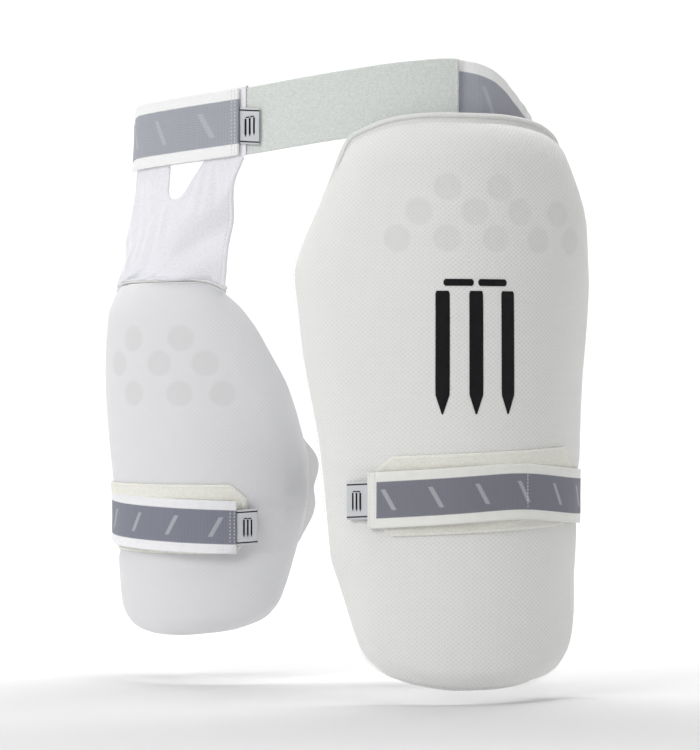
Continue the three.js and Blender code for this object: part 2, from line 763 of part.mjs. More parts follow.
const footFrom = FLAP_FOOT_FROM * INNER_PAD.height;
const footTo = FLAP_FOOT_TO * INNER_PAD.height;
const pipingSections = NOTCH.map(({ across }) => {
  const s = mix(footFrom, footTo, across);
  return [
    seamPoint(s, SEAM_GAP, 0),
    seamPoint(s, SEAM_GAP + PIPING_WIDTH, 0),
    seamPoint(s, SEAM_GAP + PIPING_WIDTH, PIPING_DEPTH),
    seamPoint(s, SEAM_GAP, PIPING_DEPTH),
  ];
});
addMesh("inner_pad_piping", sectionSolid(pipingSections, false), look(WHITE_CLOTH, 0.8));

const sleeveMiddle = (SLEEVE_IN + SLEEVE_OUT) / 2;
const flapTopDrop = BELT_WIDTH / 2 + SLEEVE_CLOTH + 2 * GAP;
function flapPoint(across, up) {
  const foot = seamPoint(mix(footFrom, footTo, across), SEAM_GAP + PIPING_WIDTH + GAP, PIPING_DEPTH - FLAP_CLOTH / 2);
  const top = beltPoint(mix(FLAP_TOP_FROM, FLAP_TOP_TO, across), sleeveMiddle, -flapTopDrop);
  const cut = lookup(NOTCH, "across", "cut", across) * BELT_WIDTH;
  const reachUp = up * (1 - cut / foot.distanceTo(top));
  return foot.lerp(top, reachUp);
}

function flapFace(side) {
  const rows = [];
  for (let r = 0; r <= FLAP_ROWS; r++) {
    const up = r / FLAP_ROWS;
    rows.push(NOTCH.map(({ across }) => {
      const wide = flapPoint(Math.min(1, across + 0.01), up).sub(flapPoint(Math.max(0, across - 0.01), up));
      const normal = new THREE.Vector3(wide.y, -wide.x, 0).normalize();
      return flapPoint(across, up).addScaledVector(normal, (side * FLAP_CLOTH) / 2);
    }));
  }
  return rows;
}
addMesh("hanger_flap", gridSolid(flapFace(1), flapFace(-1)), look(WHITE_CLOTH, 0.85));

export default group;
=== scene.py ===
# %% [markdown]
# # A cricket thigh guard in its worn shape
#
# The guard has a large moulded pad for the leading thigh and a small one for the inside of the other thigh.
# One waist belt carries both. Each pad has its own elastic leg strap that closes on a fuzzy patch.
# We start from the measured CAD frame, and dress it with cloth, elastic, stitches and print.
# %% Load the frame
import math

import bmesh
import bpy
import numpy as np
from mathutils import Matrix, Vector


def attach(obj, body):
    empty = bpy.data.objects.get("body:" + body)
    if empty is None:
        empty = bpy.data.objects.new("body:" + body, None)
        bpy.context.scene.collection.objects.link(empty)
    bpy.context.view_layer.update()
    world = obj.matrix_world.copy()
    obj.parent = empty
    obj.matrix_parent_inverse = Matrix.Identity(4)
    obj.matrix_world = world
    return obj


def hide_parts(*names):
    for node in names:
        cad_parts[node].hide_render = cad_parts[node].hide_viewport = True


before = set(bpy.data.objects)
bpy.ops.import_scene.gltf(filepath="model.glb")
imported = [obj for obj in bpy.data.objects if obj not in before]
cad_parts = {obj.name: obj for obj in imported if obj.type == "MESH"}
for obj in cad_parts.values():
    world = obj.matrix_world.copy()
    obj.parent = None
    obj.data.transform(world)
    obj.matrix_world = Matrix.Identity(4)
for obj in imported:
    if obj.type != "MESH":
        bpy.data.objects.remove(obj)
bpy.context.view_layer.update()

MM = 0.001

# %% [markdown]
# ## The camera
#
# The product photo is taken from about two metres with a long lens, level, 28 degrees round to the wearer's left.
# A long lens keeps the two pads at nearly the same scale. Depth of field stays off, as everything is sharp.
# %% Camera at the photo's angle
AZIMUTH = math.radians(28)
TARGET = Vector((0.024, -0.015, -0.175))
DISTANCE = 2.0
camera_data = bpy.data.cameras.new("photo_camera")
camera_data.lens = 126.1
camera_data.sensor_width = 36
camera = bpy.data.objects.new("photo_camera", camera_data)
bpy.context.scene.collection.objects.link(camera)
away = Vector((math.sin(AZIMUTH), -math.cos(AZIMUTH), 0))
camera.location = TARGET + away * DISTANCE
camera.rotation_mode = "QUATERNION"
camera.rotation_quaternion = (-away).to_track_quat("-Z", "Y")
bpy.context.scene.camera = camera
print("camera stands at", tuple(round(v, 3) for v in camera.location))

# %% [markdown]
# ## The pads' shape in numbers
#
# A worn pad wraps round the thigh, so we describe it on the leg's own surface.
# `s` runs round the leg from the pad's middle line and `down` runs from its top, both in millimetres.
# The tables give the leg's roundness and the pad's outline as shares of the pad's height.
# A smooth curve through each table takes the corners out that the coarse solids have.
# %% Tables of the two pads
LINING = 2.1

OUTER = dict(x=75, y=12, facing=45, top=15, height=417, foam=20, edge=4, side_rim=34, foot_rim=15, foot_from=0.8)
OUTER.update(flat_side=-1, flat_from=35, flatter=1.45, flange=8)
OUTER["sections"] = [
    (0, 0.2315, 0.27), (0.1, 0.239, 0.255), (0.2, 0.251, 0.246), (0.3, 0.259, 0.242), (0.42, 0.261, 0.236),
    (0.56, 0.261, 0.227), (0.7, 0.261, 0.217), (0.86, 0.262, 0.207), (1, 0.263, 0.203),
]
OUTER["outline"] = [
    (0, 0.06, 0.06), (0.0035, 0.112, 0.105), (0.012, 0.15, 0.148), (0.024, 0.18, 0.178), (0.038, 0.211, 0.2),
    (0.065, 0.225, 0.214), (0.131, 0.254, 0.244), (0.177, 0.277, 0.27), (0.215, 0.298, 0.29), (0.261, 0.319, 0.312),
    (0.288, 0.322, 0.318), (0.323, 0.317, 0.316), (0.42, 0.306, 0.308), (0.5, 0.289, 0.292), (0.57, 0.274, 0.275),
    (0.639, 0.266, 0.266), (0.779, 0.253, 0.256), (0.82, 0.237, 0.244), (0.88, 0.215, 0.223), (0.92, 0.2, 0.207),
    (0.95, 0.184, 0.19), (0.975, 0.152, 0.16), (0.99, 0.108, 0.112), (1, 0.045, 0.04),
]

INNER = dict(x=-107.5, y=4, facing=-2, top=-104, height=272, foam=14, edge=3, side_rim=30, foot_rim=14, foot_from=0.8)
INNER.update(flat_side=1, flat_from=40, flatter=1.5, flange=0)
INNER["sections"] = [
    (0, 0.239, 0.243), (0.2, 0.245, 0.244), (0.45, 0.246, 0.237), (0.66, 0.228, 0.22), (0.85, 0.216, 0.214),
    (1, 0.2, 0.202),
]
INNER["outline"] = [
    (0, 0.21, 0.095), (0.008, 0.255, 0.135), (0.03, 0.282, 0.17), (0.07, 0.297, 0.213), (0.13, 0.312, 0.257),
    (0.2, 0.325, 0.296), (0.28, 0.34, 0.345), (0.36, 0.355, 0.378), (0.44, 0.365, 0.405), (0.5, 0.368, 0.425),
    (0.6, 0.368, 0.425), (0.68, 0.36, 0.405), (0.76, 0.345, 0.37), (0.84, 0.325, 0.338), (0.91, 0.29, 0.303),
    (0.955, 0.23, 0.255), (0.985, 0.15, 0.165), (1, 0.04, 0.04),
]
WING = [
    (0, 0), (0.41, 0), (0.45, 0.025), (0.49, 0.065), (0.51, 0.078), (0.54, 0.078), (0.585, 0.056), (0.635, 0.078),
    (0.66, 0.074), (0.7, 0.047), (0.75, 0.02), (0.79, 0), (1, 0),
]

# %% [markdown]
# ## From the tables to points in space
#
# `surface` turns (s, down, lift) into a point: the same formula as the CAD frame, here for whole arrays at once.
# `outline` gives the pad's edge as an evenly spaced closed line, rounded a little as cloth rounds every corner.
# %% Surface and outline functions
def smooth_step(t):
    """A step from 0 to 1 with level ends."""
    t = np.clip(t, 0, 1)
    return t * t * (3 - 2 * t)


def heading_vector(degrees):
    a = np.radians(degrees)
    return np.stack([np.sin(a), -np.cos(a)], axis=-1)


def eased(rows, column, at):
    """A table's column, read along a smooth curve through its rows."""
    table = np.array(rows, float)
    x, y = table[:, 0], table[:, column]
    slope = np.gradient(y, x)
    i = np.clip(np.searchsorted(x, at) - 1, 0, len(x) - 2)
    width = x[i + 1] - x[i]
    t = np.clip((at - x[i]) / width, 0, 1)
    a = (2 * t**3 - 3 * t**2 + 1) * y[i] + (-2 * t**3 + 3 * t**2) * y[i + 1]
    return a + ((t**3 - 2 * t**2 + t) * slope[i] + (t**3 - t**2) * slope[i + 1]) * width


def surface(pad, s, down, lift):
    """Points in metres at s and down, in millimetres, lifted off the leg."""
    s, down, lift = np.broadcast_arrays(*(np.asarray(v, float) for v in (s, down, lift)))
    share = np.clip(down / pad["height"], 0, 1)
    radius = pad["height"] * eased(pad["sections"], 2, share)
    front = pad["height"] * eased(pad["sections"], 1, share)
    past = np.maximum(0, s * pad["flat_side"] - pad["flat_from"]) * pad["flat_side"]
    before = s - past
    bow = radius * pad["flatter"]
    centre = np.array([pad["x"], pad["y"]]) + heading_vector(pad["facing"]) * (front - radius)[..., None]
    join = pad["facing"] + np.degrees(before / radius)
    flat = past != 0
    centre = centre + heading_vector(join) * np.where(flat, radius - bow, 0)[..., None]
    reach = np.where(flat, bow, radius) + lift
    heading = join + np.degrees(past / bow)
    plan = centre + heading_vector(heading) * reach[..., None]
    return np.concatenate([plan, (pad["top"] - down)[..., None]], axis=-1) * MM


def outline(pad, count, inset=0.0, soften=5.0):
    """The pad's edge as (s, down) in millimetres, evenly spaced and softened."""
    rows = np.array(pad["outline"]) * pad["height"]
    fine = np.linspace(0, 1, 400)
    share = rows[:, 0] / pad["height"]
    left = np.stack([np.interp(fine, share, rows[:, 2]), fine * pad["height"]], 1)
    right = np.stack([-np.interp(fine, share, rows[:, 1]), fine * pad["height"]], 1)
    ring = np.concatenate([left, right[::-1]])
    ring = even_ring(ring, 1440)
    length = np.linalg.norm(np.roll(ring, -1, 0) - ring, axis=1).sum()
    ring = blur_ring(ring, soften / length * len(ring))
    along = np.roll(ring, -1, 0) - np.roll(ring, 1, 0)
    along /= np.linalg.norm(along, axis=1)[:, None]
    ring = ring + np.stack([-along[:, 1], along[:, 0]], 1) * inset
    return even_ring(ring, count)


# %% Working on closed lines
def even_ring(ring, count):
    closed = np.concatenate([ring, ring[:1]])
    steps = np.r_[0, np.cumsum(np.linalg.norm(np.diff(closed, axis=0), axis=1))]
    at = np.linspace(0, steps[-1], count, endpoint=False)
    return np.stack([np.interp(at, steps, closed[:, k]) for k in range(ring.shape[1])], 1)


def blur_ring(ring, sigma):
    turns = np.fft.fftfreq(len(ring))[:, None]
    soft = np.exp(-2 * (np.pi * turns * sigma) ** 2)
    return np.real(np.fft.ifft(np.fft.fft(ring, axis=0) * soft, axis=0))


def distance_to(ring, s, down):
    """Distance in millimetres from each (s, down) to the closed line."""
    points = np.stack([s.ravel(), down.ravel()], 1)
    a = ring
    b = np.roll(ring, -1, 0)
    best = np.full(len(points), 1e9)
    for start in range(0, len(points), 4000):
        p = points[start : start + 4000, None, :]
        t = np.clip(((p - a) * (b - a)).sum(2) / ((b - a) ** 2).sum(1), 0, 1)
        gap = np.linalg.norm(p - a - (b - a) * t[..., None], axis=2).min(1)
        best[start : start + 4000] = gap
    return best.reshape(s.shape)


# %% [markdown]
# ## Making mesh objects
#
# Every piece here is a grid: rows and columns of points, closed round or joined to a second grid for its back.
# `piece` makes the object, hangs it on the body it rides on, and hides the CAD nodes it stands for.
# The flat layer keeps real distances in metres, so that a weave has its true size on every piece.
# %% Grid helpers
def piece(name, points, faces, uv=None, stands_for=(), slot=None):
    mesh = bpy.data.meshes.new(name)
    mesh.from_pydata(np.asarray(points).reshape(-1, 3).tolist(), [], faces)
    mesh.validate()
    if uv is not None:
        layer = mesh.uv_layers.new(name="flat")
        flat = np.asarray(uv, float).reshape(-1, 2)
        index = np.empty(len(mesh.loops), int)
        mesh.loops.foreach_get("vertex_index", index)
        layer.data.foreach_set("uv", flat[index].ravel())
    mesh.shade_smooth()
    obj = bpy.data.objects.new(name, mesh)
    bpy.context.scene.collection.objects.link(obj)
    face_outward(obj)
    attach(obj, "root")
    if stands_for:
        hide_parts(*stands_for)
    return obj


def face_outward(obj):
    work = bmesh.new()
    work.from_mesh(obj.data)
    bmesh.ops.recalc_face_normals(work, faces=work.faces)
    if work.calc_volume(signed=True) < 0:
        bmesh.ops.reverse_faces(work, faces=work.faces)
    work.to_mesh(obj.data)
    work.free()


def grid_faces(rows, columns, first=0, wrap=False, flip=False):
    r, c = np.meshgrid(np.arange(rows - 1), np.arange(columns if wrap else columns - 1), indexing="ij")
    a = first + r * columns + c
    b = first + r * columns + (c + 1) % columns
    quad = np.stack([a, b, b + columns, a + columns], -1).reshape(-1, 4)
    return (quad[:, ::-1] if flip else quad).tolist()


# %% Closed bodies from two grids
def rim_faces(rows, columns, half):
    """Faces that join the edge of one grid to the edge of its back."""
    ring = [c for c in range(columns - 1)]
    ring += [r * columns + columns - 1 for r in range(rows - 1)]
    ring += [(rows - 1) * columns + c for c in range(columns - 1, 0, -1)]
    ring += [r * columns for r in range(rows - 1, 0, -1)]
    return [[ring[i], ring[i - 1], half + ring[i - 1], half + ring[i]] for i in range(len(ring))]


def two_faced(front, back):
    """A closed body from a front and a back grid of points."""
    rows, columns = front.shape[:2]
    half = rows * columns
    faces = grid_faces(rows, columns) + grid_faces(rows, columns, half, flip=True) + rim_faces(rows, columns, half)
    return np.concatenate([front.reshape(-1, 3), back.reshape(-1, 3)]), faces


def attribute(obj, name, values):
    layer = obj.data.attributes.new(name, "FLOAT", "POINT")
    layer.data.foreach_set("value", np.asarray(values, np.float32).ravel())


# %% [markdown]
# ## Letting cloth find its own shape
#
# Blender's Cloth moves a coarse copy of a piece, and we carry its movement over to the dense piece.
# The copy has the same rows and columns, so a point's movement is read between its nearest four coarse points.
# A cap on the movement keeps every piece inside the space that the CAD frame gives it.
# %% Cloth simulation
def simulate(points, faces, pinned, frames, pressure=0.0, gravity=0.0, grow=0.0, stiffness=15, bending=0.5):
    """Movement in metres of each point after some frames of cloth simulation."""
    mesh = bpy.data.meshes.new("cloth_trial")
    mesh.from_pydata(points.tolist(), [], faces)
    obj = bpy.data.objects.new("cloth_trial", mesh)
    bpy.context.scene.collection.objects.link(obj)
    group = obj.vertex_groups.new(name="sewn")
    group.add([int(i) for i in np.flatnonzero(pinned)], 1.0, "REPLACE")
    cloth = obj.modifiers.new("cloth", "CLOTH")
    cloth.point_cache.frame_end = frames
    cloth.settings.quality = 6
    cloth.settings.mass = 0.2
    cloth.settings.vertex_group_mass = "sewn"
    cloth.settings.tension_stiffness = stiffness
    cloth.settings.compression_stiffness = stiffness
    cloth.settings.shear_stiffness = stiffness / 2
    cloth.settings.bending_stiffness = bending
    cloth.settings.shrink_min = -grow
    cloth.settings.effector_weights.gravity = gravity
    cloth.settings.use_pressure = pressure > 0
    cloth.settings.uniform_pressure_force = pressure
    cloth.collision_settings.use_collision = False
    for frame_number in range(1, frames + 1):
        bpy.context.scene.frame_set(frame_number)
    shown = obj.evaluated_get(bpy.context.evaluated_depsgraph_get())
    settled = np.empty(len(points) * 3, np.float32)
    shown.data.vertices.foreach_get("co", settled)
    bpy.data.objects.remove(obj)
    bpy.context.scene.frame_set(1)
    moved = settled.reshape(-1, 3) - points
    print("cloth moved its points by up to", round(float(np.linalg.norm(moved, axis=1).max()) * 1000, 1), "mm")
    return moved


# %% From the coarse copy to the dense piece
def capped(moved, most):
    size = np.linalg.norm(moved, axis=-1, keepdims=True)
    return moved * np.minimum(1, most / np.maximum(size, 1e-9))


def finer(coarse, rows, columns):
    """A coarse grid of values, read as a grid with more rows and columns."""
    r = np.linspace(0, coarse.shape[0] - 1, rows)
    c = np.linspace(0, coarse.shape[1] - 1, columns)
    i = np.minimum(r.astype(int), coarse.shape[0] - 2)
    j = np.minimum(c.astype(int), coarse.shape[1] - 2)
    u = smooth_step(r - i)[:, None, None] * 0.5 + (r - i)[:, None, None] * 0.5
    v = smooth_step(c - j)[None, :, None] * 0.5 + (c - j)[None, :, None] * 0.5
    top = coarse[i][:, j] * (1 - v) + coarse[i][:, j + 1] * v
    foot = coarse[i + 1][:, j] * (1 - v) + coarse[i + 1][:, j + 1] * v
    return top * (1 - u) + foot * u


# %% [markdown]
# ## The moulded pads
#
# Each pad is a sheet of foam, pressed in a hot mould under a stretchy mesh cover.
# So it has a round crown and a thin sewn edge.
# Rows of vent holes are punched in the foam. The cover sinks a little at each one, and the shade inside the hole is
# painted on the cover as a pale grey dot.
# In Blender this is one dense grid. A point's height depends on how far it lies from the pad's edge.
# %% Pad forms
def foam_lift(pad, inset, down):
    at_foot = smooth_step((down / pad["height"] - pad["foot_from"]) / 0.14)
    rim = pad["side_rim"] + (pad["foot_rim"] - pad["side_rim"]) * at_foot
    flange = pad["flange"] * smooth_step(1 - down / 80)
    t = np.clip((inset - flange) / (rim - flange), 0, 1)
    return pad["edge"] + (pad["foam"] - pad["edge"]) * np.sqrt(1 - (1 - t) ** 2) * (0.85 + 0.15 * t)


OUTER["swells"] = [(88, 62, 34, 36, 5.0), (88, 190, 30, 40, -2.6), (70, 365, 40, 26, 2.4)]
INNER["swells"] = [(-80, 55, 34, 60, 4.5)]
OUTER["press"] = (0.668 * OUTER["height"], 1.2)
INNER["press"] = (0.688 * INNER["height"] + 2, 2.4)


def pad_lift(pad, s, down, inset):
    """Height of the cover above the leg: the moulded crown, a few broad swells, and the dent a tight strap leaves."""
    lift = LINING + foam_lift(pad, inset, down)
    firm = np.clip(inset / 20, 0, 1)
    for at_s, at_down, wide, tall, amount in pad["swells"]:
        lift = lift + amount * firm * np.exp(-(((s - at_s) / wide) ** 2) - ((down - at_down) / tall) ** 2)
    middle, depth = pad["press"]
    return lift - depth * firm * smooth_step((27 - np.abs(down - middle)) / 12)


def pad_grid(pad, rows, columns, inset):
    """(s, down) of a grid that fills the pad's outline, with lines gathered towards the edges."""
    ring = outline(pad, 1440, inset)
    ring = np.roll(ring, -ring[:, 1].argmin(), 0)
    foot = ring[:, 1].argmax()
    sides = ring[: foot + 1], np.concatenate([ring[:1], ring[foot:][::-1]])
    if sides[0][:, 0].mean() < sides[1][:, 0].mean():
        sides = sides[::-1]
    v = 0.5 - 0.5 * np.cos(np.linspace(0, np.pi, rows))
    down = ring[0, 1] + (ring[foot, 1] - ring[0, 1]) * v
    width = [np.interp(down, np.maximum.accumulate(side[:, 1]), side[:, 0]) for side in sides]
    u = np.sin(np.linspace(-1, 1, columns) * np.pi / 2)
    middle = (width[0] + width[1]) / 2
    half = (width[0] - width[1]) / 2
    return middle[:, None] + half[:, None] * u, np.repeat(down[:, None], columns, 1)


# %% Vent holes
OUTER_DOTS = [(55.5, (-20, 12.5)), (73, (-38, -4, 25.5, 55)), (92.5, (-52, -21.5, 8.5, 38.5, 67))]
INNER_DOTS = [(43, (-19, 17)), (62, (-34, 2.5, 32.7)), (85, (-18, 16.5, 44))]
DOT_RADIUS = 10


def dot_field(dots, s, down):
    """Distance in millimetres to the middle of the nearest vent hole."""
    best = np.full(s.shape, 99.0)
    for row, places in dots:
        for place in places:
            best = np.minimum(best, np.hypot((s - place) * 1.15, down - row))
    return best


# %% The two pads
def cover_movement(pad, inset):
    """How far the stretched cover moves off the mould, on a coarse grid."""
    rows, columns = 78, 60
    s, down = pad_grid(pad, rows, columns, inset)
    edge = distance_to(outline(pad, 720), s, down)
    front = surface(pad, s, down, pad_lift(pad, s, down, edge) - 0.6 * np.clip(edge / 12, 0, 1))
    points, faces = two_faced(front, surface(pad, s, down, LINING))
    pinned = np.concatenate([(edge < 6).ravel(), np.ones(edge.size, bool)])
    moved = simulate(points, faces, pinned, 20, pressure=4, grow=0.006, stiffness=8, bending=0.2)
    return capped(moved[: edge.size].reshape(rows, columns, 3), 0.0015)


def make_pad(name, pad, dots, inset, rows, columns, stands_for):
    s, down = pad_grid(pad, rows, columns, inset)
    edge = distance_to(outline(pad, 720), s, down)
    near_dot = dot_field(dots, s, down)
    lift = pad_lift(pad, s, down, edge)
    lift -= 0.3 * smooth_step((DOT_RADIUS - near_dot) / 3)
    front = surface(pad, s, down, lift)
    front = front + finer(cover_movement(pad, inset), rows, columns) * np.clip(edge / 15, 0, 1)[..., None]
    back = surface(pad, s, down, LINING)
    points, faces = two_faced(front, back)
    flat = np.stack([s, down], -1) * MM
    obj = piece(name, points, faces, np.concatenate([flat.reshape(-1, 2)] * 2), stands_for, "white_mesh")
    attribute(obj, "dot_mm", np.tile(near_dot.ravel(), 2))
    return obj


outer_pad = make_pad("outer_pad", OUTER, OUTER_DOTS, 3.4, 250, 194, ["thigh_pad_shell"])
inner_pad = make_pad("inner_pad", INNER, INNER_DOTS, 0.9, 220, 180, ["inner_pad_shell"])
print("outer pad points:", len(outer_pad.data.vertices))

# %% [markdown]
# ## Linings, wing and binding
#
# A smooth knitted lining closes each pad on the leg's side.
# The inner pad's lining runs out into a small two-pointed wing,
# and the leg strap is sewn to it. A folded strip of cloth binds the outer pad's raw edge all round.
# %% Linings
def make_lining(name, pad, inset, wing, stands_for):
    s, down = pad_grid(pad, 160, 140, inset)
    if wing:
        reach = pad["height"] * eased(WING, 1, down / pad["height"])
        out = smooth_step(s / (s.max() * 0.95))
        s = s + reach * out**6 * (s > 0)
    front = surface(pad, s, down, LINING - 0.3)
    back = surface(pad, s, down, 0)
    points, faces = two_faced(front, back)
    flat = np.stack([s, down], -1) * MM
    return piece(name, points, faces, np.concatenate([flat.reshape(-1, 2)] * 2), stands_for, "lining_cloth")


outer_lining = make_lining("outer_lining", OUTER, 3.4, False, ["thigh_pad_backing"])
inner_lining = make_lining("inner_lining", INNER, 0.4, True, ["inner_pad_backing"])
print("the wing's longest reach in mm:", round(max(share for _, share in WING) * INNER["height"], 1))


# %% Binding
def make_binding(name, pad, stands_for):
    """A strip of cloth folded round the edge; its section is given as (in from the outline, up from the edge)."""
    count = 1000
    section = [(3.9, 0.25), (3.4, 0.9), (2.4, 1.15), (1.2, 0.9), (0.3, -0.2)]
    section += [(0, -1.6), (0, -3.6), (0.5, -5.2), (1.6, -6.0), (2.9, -6.05)]
    section += [(2.9, -5.9), (3.1, -4.0), (3.1, -1.5), (3.3, -0.2)]
    rings = {inset: outline(pad, count, inset) for inset, _ in section}
    top = LINING + pad["edge"]
    columns = [surface(pad, *rings[inset].T, top + rise) for inset, rise in section]
    points = np.stack(columns, 1)
    across = len(section)
    faces = []
    for i in range(count):
        j = (i + 1) % count
        for k in range(across):
            m = (k + 1) % across
            faces.append([i * across + k, i * across + m, j * across + m, j * across + k])
    edge = rings[0]
    run = np.arange(count) * np.linalg.norm(edge[1] - edge[0])
    uv = np.stack(np.broadcast_arrays(run[:, None], np.arange(across)[None, :] * 1.3), -1) * MM
    return piece(name, points, faces, uv, stands_for, "white_cloth")


binding = make_binding("outer_binding", OUTER, ["thigh_pad_binding"])
print("binding faces:", len(binding.data.polygons))

# %% [markdown]
# ## Fuzzy patches for the straps
#
# The soft half of a hook-and-loop fastener is a knitted pile.
# It is cut with its corners off and sewn flat on each pad.
# Its face stands a little proud, and its edge is drawn down by the stitches.
# %% Loop patches
PATCH_CORNER, PATCH_GAP, LOOP_CLOTH = 11, 0.6, 1.5

OUTER_STRAP = dict(patch_from=-66, patch_to=70, patch_width=57, patch_middle=0.659, tilt=0.05)
OUTER_STRAP.update(free=-69, hook=70, sewn=-98, wing=0, height=0.668, tuck=13, bow=0.8)
OUTER_STRAP["drops"] = [(0, 0.03), (56, -0.15), (84, 0.0), (110, 0.05), (250, 0.1), (360, 0)]
INNER_STRAP = dict(patch_from=-76, patch_to=57, patch_width=53, patch_middle=0.669, tilt=0.0)
INNER_STRAP.update(free=48, hook=70, sewn=116, wing=14, height=0.688, tuck=0, bow=4.2)
INNER_STRAP["drops"] = [(0, 0), (110, -0.15), (200, -0.7), (330, -0.94)]


def pad_top(pad, s, down):
    """Lift of the pad's outer face at given places."""
    return pad_lift(pad, s, down, distance_to(outline(pad, 720), s, down))


def make_patch(name, pad, strap, stands_for):
    run = strap["patch_to"] - strap["patch_from"]
    s = strap["patch_from"] + run * (0.5 - 0.5 * np.cos(np.linspace(0, np.pi, 110)))
    from_end = np.minimum(s - strap["patch_from"], strap["patch_to"] - s)
    corner = np.clip(1 - from_end / PATCH_CORNER, 0, 1)
    half = strap["patch_width"] / 2 - PATCH_CORNER * corner**1.25
    side = np.sin(np.linspace(-1, 1, 44) * np.pi / 2)
    down = strap["patch_middle"] * pad["height"] + half * side[:, None] - 1.0 - strap["tilt"] * s
    s = np.repeat(s[None, :], 44, 0)
    rim = np.minimum(half * (1 - np.abs(side[:, None])), from_end)
    base = pad_top(pad, s, down) + PATCH_GAP
    pile = 0.5 + (LOOP_CLOTH - 0.5) * np.sqrt(1 - (1 - np.clip(rim / 3.5, 0, 1)) ** 2)
    points, faces = two_faced(surface(pad, s, down, base + pile), surface(pad, s, down, base))
    flat = np.stack([s, down], -1) * MM
    return piece(name, points, faces, np.concatenate([flat.reshape(-1, 2)] * 2), stands_for, "loop_pile")


outer_patch = make_patch("outer_patch", OUTER, OUTER_STRAP, ["thigh_loop_patch"])
inner_patch = make_patch("inner_patch", INNER, INNER_STRAP, ["inner_loop_patch"])
print("patches:", outer_patch.name, inner_patch.name)

# %% [markdown]
# ## Leg straps
#
# A tight strap takes the shortest way round what it holds.
# So in plan it follows the outer hull of the leg with its pad.
# At the back it lies on the leg, and its sewn end goes in under the pad.
# We find how far it reaches from the leg's axis, degree by degree.
# %% The way a strap takes
STRAP_WIDTH, ELASTIC, HOOK_TAPE, GAP, TUCK_GAP = 40, 1.5, 1.2, 0.3, 1.0


def hull(points):
    ordered = sorted(map(tuple, points))

    def chain(items):
        kept = []
        for p in items:
            while len(kept) > 1:
                (ax, ay), (bx, by) = kept[-2], kept[-1]
                if (bx - ax) * (p[1] - ay) - (by - ay) * (p[0] - ax) > 0:
                    break
                kept.pop()
            kept.append(p)
        return kept[:-1]

    return np.array(chain(ordered) + chain(ordered[::-1]))


def reach_of(polygon, heading):
    """Distance from the origin to a closed plan line along a heading."""
    ray = heading_vector(heading)
    a, b = polygon, np.roll(polygon, -1, 0)
    side_a = ray[0] * a[:, 1] - ray[1] * a[:, 0]
    side_b = ray[0] * b[:, 1] - ray[1] * b[:, 0]
    hit = side_a * side_b <= 0
    t = side_a[hit] / (side_a[hit] - side_b[hit] + 1e-12)
    return ((a[hit] + (b[hit] - a[hit]) * t[:, None]) @ ray).max()


def softened(values, reach):
    """Values averaged with their neighbours, with the slope kept at both ends."""
    weights = np.hanning(2 * reach + 3)
    wide = np.pad(values, reach, mode="reflect", reflect_type="odd")
    return np.convolve(wide, weights[1:-1] / weights.sum(), "valid")


def heading_of(p):
    return math.degrees(math.atan2(p[0], -p[1]))


